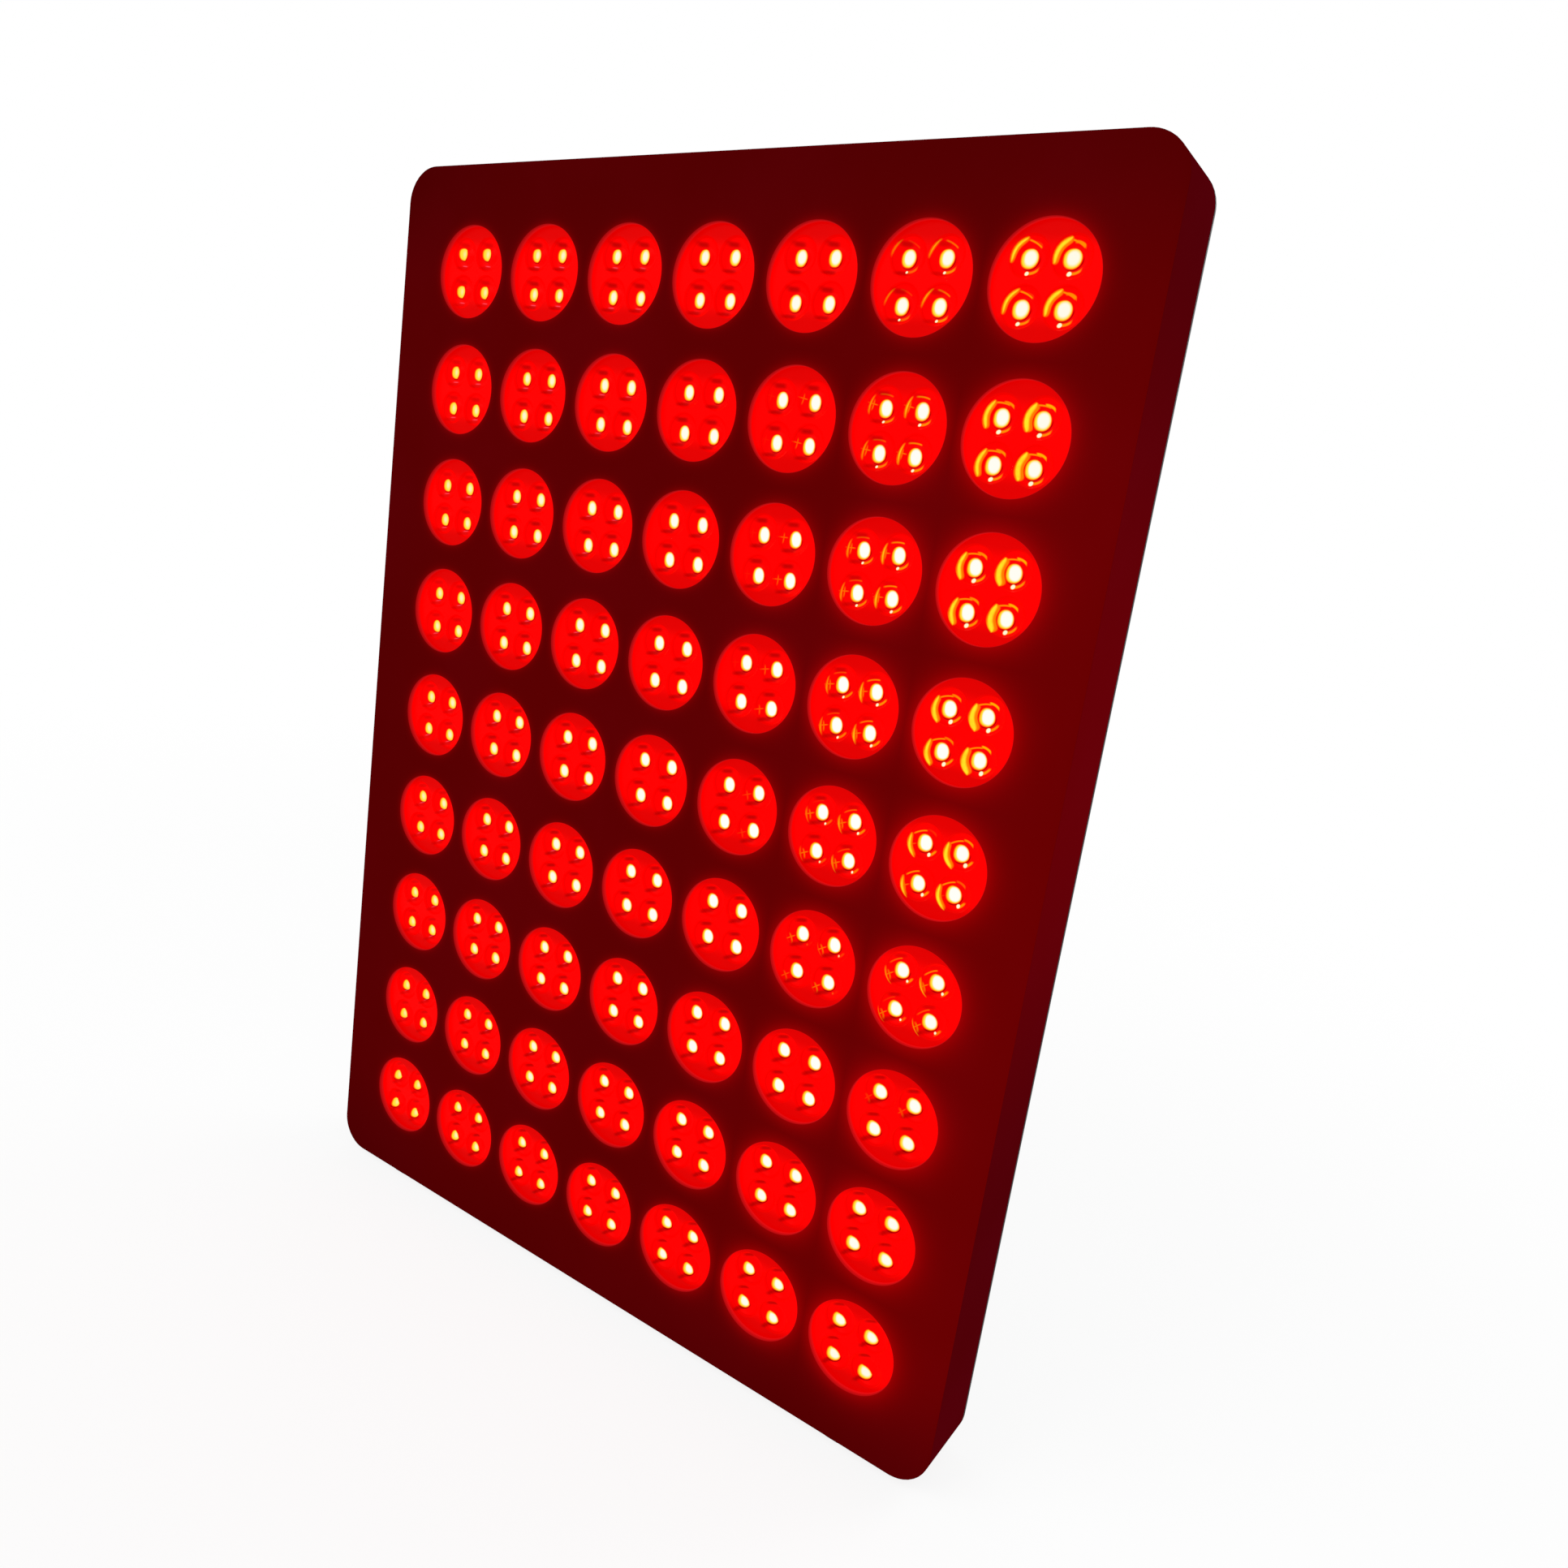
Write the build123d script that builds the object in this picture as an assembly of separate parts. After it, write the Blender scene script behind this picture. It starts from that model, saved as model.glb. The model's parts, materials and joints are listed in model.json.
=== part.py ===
from build123d import *
import math
import os

# LED light therapy panel. X runs across the panel, +Z up, and the LEDs face -Y.
# All sizes are millimetres. The origin is under the middle of the panel, on the
# plane that its rubber feet stand on.

# The grid of windows, which sits a little to the right of the panel's middle
columns = 7
rows = 9
window_diameter = 50.0
window_sides = 16
column_web = 8.0
row_web = 14.7
side_margin = 26.0
end_margin = 25.5
grid_shift = 3.0

# The case
front_wall = 3.0
front_edge_chamfer = 2.5
chamfer_wall_share = 0.9
corner_radius = 20.0
side_wall = 2.5
cover_wall = 2.5
cover_edge_chamfer = 0.8
running_gap = 0.3
cut_overrun = 1.0
pin_sides = 16

# Lenses, emitters and boards
lens_depth = 7.7
lens_gap = 2.0
lens_taper = 42.0
emitter_pitch_x = 19.0
emitter_pitch_z = 20.2
emitter_size = 3.5
emitter_rise = 3.0
emitter_lens_gap = 0.3
board_thickness = 1.6
board_gap = 1.5
connector_width = 7.0
connector_length = 12.0
connector_rise = 4.0
connector_inset = 5.0

# The heat sink
pad_thickness = 0.4
sink_plate = 3.0
fin_height = 7.0
fin_thickness = 2.0
fin_pitch = 19.0
fin_clearance = 2.5

# Fans
fan_size = 120.0
fan_spacing = 260.0
fan_depth = 15.0
fan_rim = 3.0
fan_round_sides = 24
fan_plate_radius = 21.0
fan_plate_thickness = 2.0
fan_strut_width = 5.0
bearing_radius = 4.5
bearing_length = 9.0
shaft_radius = 1.5
shaft_clearance = 0.05
hub_radius = 19.0
hub_wall = 1.5
rotor_end_gap = 0.8
blade_count = 7
blade_tip_gap = 2.6
blade_thickness = 1.4
blade_camber_radius = 30.0
blade_facets = 3
blade_pitch = 24.0
blade_root_chord = 15.0
blade_tip_chord = 25.0
blade_sweep = 5.0
grille_slot = 6.0
grille_bar = 3.5
grille_rim = 4.0

# Drivers and terminal block, all fixed to the inside of the rear cover
driver_width = 50.0
driver_length = 190.0
driver_depth = 14.0
driver_shoulder = 4.0
driver_shoulder_share = 0.4
driver_foot = 10.0
driver_foot_thickness = 2.0
driver_fan_gap = 45.0
fan_lead_inset = 8.0
terminal_width = 36.0
terminal_height = 15.0
terminal_depth = 11.0
terminal_step = 3.5

# Mains inlet, a three-pin socket for a detachable lead
inlet_cavity_width = 24.6
inlet_cavity_height = 16.8
inlet_cavity_depth = 20.0
inlet_shell = 1.2
inlet_floor = 2.0
inlet_flange_rim = 2.2
inlet_flange_proud = 2.0
inlet_corner_chamfer = 4.0
pin_width = 2.0
pin_height = 4.0
pin_length = 15.0
pin_spacing = 14.0
pin_offset = 4.0
pin_tail = 5.0

# Rocker switch
rocker_width = 12.0
rocker_half_length = 8.6
rocker_proud = 2.2
rocker_waist = 0.9
rocker_depth = 3.0
rocker_foot_share = 0.9
rocker_pivot_depth = 2.0
rocker_tilt = 9.0
trunnion_radius = 1.2
trunnion_length = 0.9
switch_wall = 1.3
switch_bezel_rim = 1.8
switch_bezel_proud = 1.5
switch_floor = 10.0

# Where the controls and vents sit in the bottom bay of the cover
bay_height = 55.0
inlet_x = 165.0
switch_x = 118.0
vent_count = 9
vent_width = 6.0
vent_height = 30.0
vent_pitch = 15.0
bay_clearance = 2.0

# Fixings and mounts
boss_width = 9.0
boss_height = 14.0
boss_depth = 16.0
screw_radius = 1.6
screw_sides = 8
screw_hole_clearance = 0.2
screw_head_radius = 3.2
screw_head_rise = 1.2
screw_length = 12.0
screw_rows = 3
screw_end_inset = 45.0
insert_bore_radius = 2.5
insert_radius = 4.5
insert_length = 12.0
insert_spacing = 300.0
foot_length = 38.0
foot_width = 16.0
foot_height = 3.0
foot_corner = 4.0
foot_inset = 55.0

# Wiring, tied flat against the cover
lead_width = 4.0
lead_thickness = 2.2
lead_bend = 6.0
ribbon_width = 8.0
ribbon_lap = 6.0

# The grid, worked out
column_pitch = window_diameter + column_web
row_pitch = window_diameter + row_web
grid_width = columns * column_pitch
grid_height = rows * row_pitch
panel_width = grid_width + 2 * side_margin
panel_height = grid_height + 2 * end_margin
middle_z = foot_height + panel_height / 2
column_places = [grid_shift + (c - (columns - 1) / 2) * column_pitch for c in range(columns)]
row_places = [middle_z + ((rows - 1) / 2 - r) * row_pitch for r in range(rows)]

# The layers from the front face back, as distances behind that face
lens_back = front_wall + lens_depth
emitter_tip = lens_back + emitter_lens_gap
board_front = emitter_tip + emitter_rise
board_back = board_front + board_thickness
sink_front = board_back + pad_thickness
sink_back = sink_front + sink_plate
inlet_reach = inlet_cavity_depth + inlet_floor + pin_tail - inlet_flange_proud - cover_wall
switch_reach = rocker_pivot_depth + switch_floor - cover_wall
sink_to_cover = max(
    fan_depth + fin_clearance + fin_height,
    driver_depth + fin_clearance + fin_height,
    inlet_reach + bay_clearance,
    switch_reach + bay_clearance,
)
cover_front = sink_back + sink_to_cover
panel_depth = cover_front + cover_wall


def box_between(low, high):
    """A box given by its lowest and highest corners."""
    size = [b - a for a, b in zip(low, high)]
    centre = [(a + b) / 2 for a, b in zip(low, high)]
    return Pos(*centre) * Box(*size)


def plate_y(outline, start, end):
    """A flat outline, drawn as seen from the front, thickened from start to end along Y."""
    return extrude(Plane.XZ.offset(-end) * outline, amount=end - start)


def rod_y(radius, start, end, x, z):
    """A thin rod along Y from start to end."""
    return plate_y(Pos(x, z) * RegularPolygon(radius, pin_sides), start, end)


def rod_x(radius, length):
    """A thin rod along X, centred on the origin."""
    return extrude(Plane.YZ * RegularPolygon(radius, pin_sides), amount=length / 2, both=True)


def panel_outline(inset):
    """The rounded rectangle of the case, drawn in by inset, at its height above the feet."""
    radius = max(corner_radius - inset, side_wall)
    shape = RectangleRounded(panel_width - 2 * inset, panel_height - 2 * inset, radius)
    return Pos(0, middle_z) * shape


# Case


def make_front_panel():
    """Flat plate with one round window for each lens and an eased front edge."""
    plate = plate_y(panel_outline(0), 0, front_wall)
    edge = plate.faces().sort_by(Axis.Y)[0].outer_wire().edges()
    plate = chamfer(edge, min(front_edge_chamfer, chamfer_wall_share * front_wall))
    window = RegularPolygon(window_diameter / 2, window_sides)
    holes = Sketch() + [Pos(x, z) * window for x in column_places for z in row_places]
    return plate - plate_y(holes, -cut_overrun, front_wall + cut_overrun)


screw_x = panel_width / 2 - side_wall - boss_width / 2
screw_span = panel_height - 2 * screw_end_inset
screw_places = [
    (side * screw_x, middle_z + screw_span * (k / (screw_rows - 1) - 0.5))
    for side in (-1, 1)
    for k in range(screw_rows)
]
insert_places = [-insert_spacing / 2, insert_spacing / 2]
insert_y = panel_depth / 2
insert_outline = RegularPolygon(insert_radius, 6, major_radius=False)
panel_top = foot_height + panel_height
rail_places = [grid_shift + side * (grid_width + board_gap) / 2 for side in (-1, 1)]
sink_half_width = panel_width / 2 - side_wall - boss_width - running_gap


def make_side_frame():
    """Ring of side walls with a rail for the heat sink down each side and six screw bosses."""
    ring = plate_y(panel_outline(0) - panel_outline(side_wall), front_wall, cover_front)
    inner_x = panel_width / 2 - side_wall
    rail_half = grid_height / 2
    for near, wall_x in zip(rail_places, (-inner_x, inner_x)):
        ring += box_between(
            (min(near, wall_x), sink_front - side_wall, middle_z - rail_half),
            (max(near, wall_x), sink_front, middle_z + rail_half),
        )
    for x, z in screw_places:
        near, far = x - boss_width / 2, x + boss_width / 2
        ring += box_between(
            (near, cover_front - boss_depth, z - boss_height / 2),
            (far, cover_front, z + boss_height / 2),
        )
    for x in insert_places:
        ring -= Pos(x, insert_y, panel_top) * extrude(insert_outline, amount=-insert_length)
    return ring


fan_bore = fan_size - 2 * fan_rim
fan_places = {"upper": middle_z + fan_spacing / 2, "lower": middle_z - fan_spacing / 2}
grille_radius = fan_bore / 2 - grille_rim
bay_z = foot_height + bay_height
vent_places = [(k - (vent_count - 1) / 2) * vent_pitch for k in range(vent_count)]
vent_inset = side_wall + vent_height / 2 + side_margin
vent_rows = [foot_height + vent_inset, panel_top - vent_inset]


def grille_slots(z_centre):
    """Level slots that fill a circle in front of a fan."""
    pitch = grille_slot + grille_bar
    half_count = int((grille_radius - grille_slot / 2) // pitch)
    slots = []
    for k in range(-half_count, half_count + 1):
        far_edge = abs(k) * pitch + grille_slot / 2
        half_length = math.sqrt(grille_radius**2 - far_edge**2)
        slots.append(Pos(0, z_centre + k * pitch) * Rectangle(2 * half_length, grille_slot))
    return slots


rocker_reach = math.hypot(rocker_half_length, rocker_proud + rocker_pivot_depth)
rocker_corner_angle = math.atan2(rocker_proud + rocker_pivot_depth, rocker_half_length)
rocker_swing = rocker_reach * math.cos(
    max(0, rocker_corner_angle - math.radians(rocker_tilt))
)
switch_half_length = rocker_swing + running_gap
switch_half_width = rocker_width / 2 + running_gap
switch_body_half_length = switch_half_length + switch_wall
switch_body_half_width = switch_half_width + switch_wall
inlet_body_width = inlet_cavity_width + 2 * inlet_shell
inlet_body_height = inlet_cavity_height + 2 * inlet_shell


def inlet_outline(grow):
    """The inlet's outline: a rectangle with its two lower corners cut off."""
    width = inlet_cavity_width + 2 * grow
    height = inlet_cavity_height + 2 * grow
    shape = Rectangle(width, height)
    corners = shape.vertices().group_by(Axis.Y)[0]
    shape = chamfer(corners, inlet_corner_chamfer)
    return Pos(inlet_x, bay_z) * shape


def make_rear_cover():
    """Flat cover with fan grilles, air slots, screw holes and the cut-outs of the controls."""
    cover = plate_y(panel_outline(0), cover_front, panel_depth)
    edge = cover.faces().sort_by(Axis.Y)[-1].outer_wire().edges()
    cover = chamfer(edge, min(cover_edge_chamfer, chamfer_wall_share * cover_wall))
    holes = []
    for z in fan_places.values():
        holes += grille_slots(z)
    for x in vent_places:
        holes += [Pos(x, z) * Rectangle(vent_width, vent_height) for z in vent_rows]
    screw_hole = RegularPolygon(screw_radius + screw_hole_clearance, screw_sides)
    holes += [Pos(x, z) * screw_hole for x, z in screw_places]
    holes.append(inlet_outline(inlet_shell))
    switch_hole = Rectangle(2 * switch_body_half_width, 2 * switch_body_half_length)
    holes.append(Pos(switch_x, bay_z) * switch_hole)
    cut = plate_y(Sketch() + holes, cover_front - cut_overrun, panel_depth + cut_overrun)
    return cover - cut


def make_cover_screws():
    """Pan-head screws that run through the cover into the frame's bosses."""
    shank = plate_y(
        RegularPolygon(screw_radius, screw_sides), panel_depth - screw_length, panel_depth
    )
    head = plate_y(
        RegularPolygon(screw_head_radius, screw_sides), panel_depth, panel_depth + screw_head_rise
    )
    screw = shank + chamfer(head.faces().sort_by(Axis.Y)[-1].edges(), screw_head_rise / 2)
    return [Pos(x, 0, z) * screw for x, z in screw_places]


def make_hanging_inserts():
    """Hexagonal threaded inserts set flush in the top edge."""
    tube = extrude(insert_outline - Circle(insert_bore_radius), amount=-insert_length)
    return [Pos(x, insert_y, panel_top) * tube for x in insert_places]


def make_rubber_feet():
    """Two rubber pads under the bottom edge."""
    outline = Rectangle(foot_width, foot_length)
    outline = chamfer(outline.vertices(), foot_corner)
    pad = extrude(outline, amount=foot_height)
    foot_x = panel_width / 2 - foot_inset
    return [Pos(x, panel_depth / 2, 0) * pad for x in (-foot_x, foot_x)]


# Light engine


def lens_profile(width):
    """A lens seen from one side: full width against the front panel, drawn in towards its back."""
    half = width / 2
    back_half = half - lens_depth * math.tan(math.radians(lens_taper))
    return make_face(
        Polyline(
            (-half, front_wall),
            (half, front_wall),
            (back_half, lens_back),
            (-back_half, lens_back),
            close=True,
        )
    )


def make_lens_row(z):
    """A row of four-cell lenses: each fills its cell behind the front panel and tapers back."""
    across = extrude(Plane.XY * lens_profile(column_pitch - lens_gap), amount=row_pitch, both=True)
    upright = extrude(Plane.ZY * lens_profile(row_pitch - lens_gap), amount=column_pitch, both=True)
    lens = across & upright
    return [Pos(x, 0, z) * lens for x in column_places]


def make_emitters(z):
    """Four emitters behind each lens of a row."""
    half = emitter_size / 2
    emitters = []
    for x in column_places:
        for dx in (-emitter_pitch_x / 2, emitter_pitch_x / 2):
            for dz in (-emitter_pitch_z / 2, emitter_pitch_z / 2):
                low = (x + dx - half, emitter_tip, z + dz - half)
                high = (x + dx + half, board_front, z + dz + half)
                emitters.append(box_between(low, high))
    return emitters


board_left = grid_shift - (grid_width - board_gap) / 2
board_right = grid_shift + (grid_width - board_gap) / 2
board_half_height = (row_pitch - board_gap) / 2


def make_board(z):
    """Aluminium-core board that carries one row of emitters."""
    return box_between(
        (board_left, board_front, z - board_half_height),
        (board_right, board_back, z + board_half_height),
    )


def make_thermal_pads():
    """A thin pad between each board and the heat sink."""
    return [
        box_between(
            (board_left, board_back, z - board_half_height),
            (board_right, sink_front, z + board_half_height),
        )
        for z in row_places
    ]


def make_board_connectors():
    """Small plug bridges that join each board to the one below."""
    x = board_left + connector_inset
    links = []
    for z in row_places[:-1]:
        joint_z = z - row_pitch / 2
        links.append(
            box_between(
                (x, board_front - connector_rise, joint_z - connector_length / 2),
                (x + connector_width, board_front, joint_z + connector_length / 2),
            )
        )
    return links


control_half_height = max(inlet_body_height / 2, switch_body_half_length)
fin_bottom = bay_z + control_half_height + bay_clearance
fin_top = middle_z + grid_height / 2


def make_heat_sink():
    """Plate that rests on the frame's rails, with upright fins above the bottom bay."""
    sink = box_between(
        (-sink_half_width, sink_front, middle_z - grid_height / 2),
        (sink_half_width, sink_back, middle_z + grid_height / 2),
    )
    fin_room = sink_half_width - fin_thickness / 2
    half_count = int(fin_room // fin_pitch)
    for k in range(-half_count, half_count + 1):
        x = k * fin_pitch
        sink += box_between(
            (x - fin_thickness / 2, sink_back, fin_bottom),
            (x + fin_thickness / 2, sink_back + fin_height, fin_top),
        )
    return sink


# Fans

fan_rear = cover_front
fan_front = fan_rear - fan_depth
plate_back = fan_front + fan_plate_thickness
hub_front = plate_back + rotor_end_gap
hub_back = fan_rear - rotor_end_gap
blade_tip_radius = fan_bore / 2 - blade_tip_gap
bearing_end = min(plate_back + bearing_length, hub_back - hub_wall - rotor_end_gap)


def make_fan_frame(z):
    """Square frame with a round duct, a motor plate on four struts and the bearing tube."""
    frame = box_between(
        (-fan_size / 2, fan_front, z - fan_size / 2),
        (fan_size / 2, fan_rear, z + fan_size / 2),
    )
    duct = Pos(0, z) * RegularPolygon(fan_bore / 2, fan_round_sides)
    frame -= plate_y(duct, fan_front - cut_overrun, fan_rear + cut_overrun)
    reach = fan_bore / 2 + cut_overrun
    spokes = Rectangle(2 * reach, fan_strut_width) + Rectangle(fan_strut_width, 2 * reach)
    web = Rot(0, 0, 45) * spokes + RegularPolygon(fan_plate_radius, fan_round_sides)
    frame += plate_y(Pos(0, z) * web, fan_front, plate_back)
    tube = RegularPolygon(bearing_radius, fan_round_sides)
    frame += plate_y(Pos(0, z) * tube, fan_front, bearing_end)
    bore = shaft_radius + shaft_clearance
    return frame - rod_y(bore, fan_front - cut_overrun, fan_rear, 0, z)


def blade_arch():
    """The curved section of a blade, centred on its middle, as a few flat facets."""
    span = (blade_tip_chord + 2 * blade_sweep) / blade_camber_radius
    angles = [(k / blade_facets - 0.5) * span for k in range(blade_facets + 1)]
    outer = blade_camber_radius
    inner = blade_camber_radius - blade_thickness
    over = [(outer * math.sin(a), outer * math.cos(a) - outer) for a in angles]
    under = [(inner * math.sin(a), inner * math.cos(a) - outer) for a in reversed(angles)]
    return make_face(Polyline(*over, *under, close=True))


def make_blade(z):
    """One blade on the +X side: a curved sheet set at its pitch, wider and swept towards its tip."""
    root_x = hub_radius - hub_wall / 2
    middle_y = (hub_front + hub_back) / 2
    across = Plane(origin=(root_x, middle_y, z), x_dir=(0, 0, 1), z_dir=(1, 0, 0))
    section = across * Rot(0, 0, blade_pitch) * blade_arch()
    sheet = extrude(section, amount=blade_tip_radius - root_x)
    outline = Polyline(
        (root_x, -blade_root_chord / 2),
        (blade_tip_radius, -blade_tip_chord / 2 + blade_sweep),
        (blade_tip_radius, blade_tip_chord / 2 + blade_sweep),
        (root_x, blade_root_chord / 2),
        close=True,
    )
    plan = make_face(outline) & RegularPolygon(blade_tip_radius, fan_round_sides)
    return sheet & plate_y(Pos(0, z) * plan, hub_front, hub_back)


def make_fan_rotor(z):
    """Hub cup with curved blades, on a steel shaft that runs in the frame's bearing tube."""
    place = Pos(0, z)
    rotor = plate_y(place * RegularPolygon(hub_radius, fan_round_sides), hub_front, hub_back)
    blade = make_blade(z)
    spin = Axis((0, 0, z), (0, 1, 0))
    for k in range(blade_count):
        rotor += blade.rotate(spin, 360 * k / blade_count)
    inside = RegularPolygon(hub_radius - hub_wall, fan_round_sides)
    rotor -= plate_y(place * inside, hub_front - cut_overrun, hub_back - hub_wall)
    return rotor + rod_y(shaft_radius, fan_front, hub_back - hub_wall / 2, 0, z)


# Power parts on the cover

driver_x = fan_size / 2 + driver_fan_gap + driver_width / 2


def make_driver(side):
    """Driver case with sloped shoulders and a screw foot at each end."""
    half = driver_width / 2
    case_half = driver_length / 2 - driver_foot
    top = cover_front - driver_depth
    shoulder = min(driver_shoulder, driver_shoulder_share * driver_depth)
    outline = Polyline(
        (-half, cover_front),
        (-half, top + shoulder),
        (-half + shoulder, top),
        (half - shoulder, top),
        (half, top + shoulder),
        (half, cover_front),
        close=True,
    )
    case = extrude(Plane.XY * make_face(outline), amount=case_half, both=True)
    case += box_between(
        (-half + shoulder, cover_front - driver_foot_thickness, -driver_length / 2),
        (half - shoulder, cover_front, driver_length / 2),
    )
    return Pos(side * driver_x, 0, middle_z) * case


terminal_x = switch_x
terminal_z = (fin_bottom + fan_places["lower"] - fan_size / 2) / 2


def make_terminal_block():
    """Stepped terminal block screwed to the cover."""
    base = box_between(
        (terminal_x - terminal_width / 2, cover_front - terminal_depth + terminal_step,
         terminal_z - terminal_height / 2),
        (terminal_x + terminal_width / 2, cover_front, terminal_z + terminal_height / 2),
    )
    ridge = box_between(
        (terminal_x - terminal_width / 2, cover_front - terminal_depth,
         terminal_z - terminal_height / 4),
        (terminal_x + terminal_width / 2, cover_front - terminal_depth + terminal_step,
         terminal_z + terminal_height / 4),
    )
    return base + ridge


def make_inlet():
    """Socket shell with a flange outside the cover and slots for its pins in the floor."""
    mouth = panel_depth + inlet_flange_proud
    floor_face = mouth - inlet_cavity_depth
    shell_back = floor_face - inlet_floor
    shell = plate_y(inlet_outline(inlet_shell), shell_back, panel_depth)
    flange = plate_y(inlet_outline(inlet_shell + inlet_flange_rim), panel_depth, mouth)
    cavity = plate_y(inlet_outline(0), floor_face, mouth + cut_overrun)
    body = shell + flange - cavity
    for x, z in pin_places:
        slot = Pos(x, z) * Rectangle(pin_width, pin_height)
        body -= plate_y(slot, shell_back - cut_overrun, floor_face + cut_overrun)
    return body


pin_places = [
    (inlet_x - pin_spacing / 2, bay_z + pin_offset / 2),
    (inlet_x, bay_z - pin_offset / 2),
    (inlet_x + pin_spacing / 2, bay_z + pin_offset / 2),
]


def make_inlet_pins():
    """Flat pins with their solder tails behind the floor."""
    floor_face = panel_depth + inlet_flange_proud - inlet_cavity_depth
    tail_end = floor_face - inlet_floor - pin_tail
    pins = []
    for x, z in pin_places:
        blade = Pos(x, z) * Rectangle(pin_width, pin_height)
        pins.append(plate_y(blade, tail_end, floor_face + pin_length))
    return pins


rocker_pivot_y = panel_depth + switch_bezel_proud - rocker_pivot_depth


def make_switch_body():
    """Hollow switch body with a bezel outside the cover and bearings for the rocker."""
    back = rocker_pivot_y - switch_floor
    place = Pos(switch_x, bay_z)
    inner = place * Rectangle(2 * switch_half_width, 2 * switch_half_length)
    outer = place * Rectangle(2 * switch_body_half_width, 2 * switch_body_half_length)
    bezel = place * Rectangle(
        2 * (switch_body_half_width + switch_bezel_rim),
        2 * (switch_body_half_length + switch_bezel_rim),
    )
    body = plate_y(outer, back, panel_depth)
    body += plate_y(bezel, panel_depth, panel_depth + switch_bezel_proud)
    body -= plate_y(inner, back + switch_wall, panel_depth + switch_bezel_proud + cut_overrun)
    bearing = rod_x(trunnion_radius + shaft_clearance, 2 * (switch_half_width + trunnion_length))
    return body - Pos(switch_x, rocker_pivot_y, bay_z) * bearing


def make_rocker():
    """Rocker with a dished face on two trunnions, resting with its upper end pressed."""
    low = -rocker_depth + rocker_pivot_depth
    high = rocker_proud + rocker_pivot_depth
    foot = rocker_foot_share * rocker_half_length
    profile = Polyline(
        (low, -foot),
        (high, -rocker_half_length),
        (rocker_waist + rocker_pivot_depth, 0),
        (high, rocker_half_length),
        (low, foot),
        close=True,
    )
    cap = extrude(Plane.YZ * make_face(profile), amount=rocker_width / 2, both=True)
    pins = rod_x(trunnion_radius, rocker_width + 2 * (running_gap + trunnion_length - shaft_clearance))
    rocker = cap + pins
    return Pos(switch_x, rocker_pivot_y, bay_z) * Rot(rocker_tilt, 0, 0) * rocker


# Wiring


def flat_lead(points, width):
    """A lead laid flat on the cover along a route of straight runs with rounded bends."""
    if len(points) > 2:
        route = FilletPolyline(*points, radius=lead_bend)
    else:
        route = Line(*points)
    return plate_y(trace(route, width), cover_front - lead_thickness, cover_front)


def make_mains_leads():
    """Leads from inlet to switch, switch to terminal block, and block to both drivers."""
    block_low = terminal_z - terminal_height / 2
    block_high = terminal_z + terminal_height / 2
    block_left = terminal_x - terminal_width / 2
    driver_low = middle_z - driver_length / 2
    right_x = min(driver_x, terminal_x + terminal_width / 2 - lead_width)
    return [
        flat_lead(
            [(inlet_x - inlet_body_width / 2, bay_z), (switch_x + switch_body_half_width, bay_z)],
            lead_width,
        ),
        flat_lead([(switch_x, bay_z + switch_body_half_length), (switch_x, block_low)], lead_width),
        flat_lead([(right_x, block_high), (right_x, driver_low)], lead_width),
        flat_lead(
            [(block_left, terminal_z), (-driver_x, terminal_z), (-driver_x, driver_low)], lead_width
        ),
    ]


def make_fan_leads():
    """A short lead from the right driver to each fan."""
    start = fan_size / 2
    end = driver_x - driver_width / 2
    reach = driver_length / 2 - driver_foot - fan_lead_inset
    return [flat_lead([(start, z), (end, z)], lead_width) for z in (middle_z - reach, middle_z + reach)]


def make_output_leads():
    """Folded ribbon leads from the drivers' top ends, round the heat sink's edge to the top board."""
    half = lead_thickness / 2
    board_top = row_places[0] + board_half_height
    turn_z = (fin_top + panel_top - side_wall) / 2
    start_z = middle_z + driver_length / 2
    route = Polyline(
        (cover_front - half, start_z),
        (cover_front - half, turn_z),
        (board_front - half, turn_z),
        (board_front - half, board_top - ribbon_lap),
    )
    ribbon = Plane.YZ * trace(route, lead_thickness)
    strip = extrude(ribbon, amount=ribbon_width / 2, both=True)
    return [Pos(x, 0, 0) * strip for x in (-driver_x, driver_x)]


def build_pieces():
    """All pieces by name, with the front face at Y = 0."""
    pieces = {
        "front_panel": [make_front_panel()],
        "side_frame": [make_side_frame()],
        "rear_cover": [make_rear_cover()],
        "cover_screws": make_cover_screws(),
        "hanging_inserts": make_hanging_inserts(),
        "rubber_feet": make_rubber_feet(),
        "thermal_pads": make_thermal_pads(),
        "board_connectors": make_board_connectors(),
        "heat_sink": [make_heat_sink()],
        "led_driver_left": [make_driver(-1)],
        "led_driver_right": [make_driver(1)],
        "terminal_block": [make_terminal_block()],
        "mains_inlet": [make_inlet()],
        "inlet_pins": make_inlet_pins(),
        "switch_body": [make_switch_body()],
        "switch_rocker": [make_rocker()],
        "mains_leads": make_mains_leads(),
        "fan_leads": make_fan_leads(),
        "output_leads": make_output_leads(),
    }
    for number, z in enumerate(row_places, start=1):
        pieces[f"lens_row_{number}"] = make_lens_row(z)
        pieces[f"led_emitters_{number}"] = make_emitters(z)
        pieces[f"led_board_{number}"] = [make_board(z)]
    for name, z in fan_places.items():
        pieces[f"fan_frame_{name}"] = [make_fan_frame(z)]
        pieces[f"fan_rotor_{name}"] = [make_fan_rotor(z)]
    return pieces


pieces = build_pieces()

# The origin lies midway between the front face and whatever stands furthest back
whole = Compound(children=[solid for group in pieces.values() for shape in group for solid in shape.solids()])
box = whole.bounding_box()
shift_y = -(box.min.Y + box.max.Y) / 2

os.makedirs("parts", exist_ok=True)
for name, shapes in pieces.items():
    solids = [Pos(0, shift_y, 0) * solid for shape in shapes for solid in shape.solids()]
    node = solids[0] if len(solids) == 1 else Compound(children=solids)
    node.label = name
    export_step(node, f"parts/{name}.step")

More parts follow.
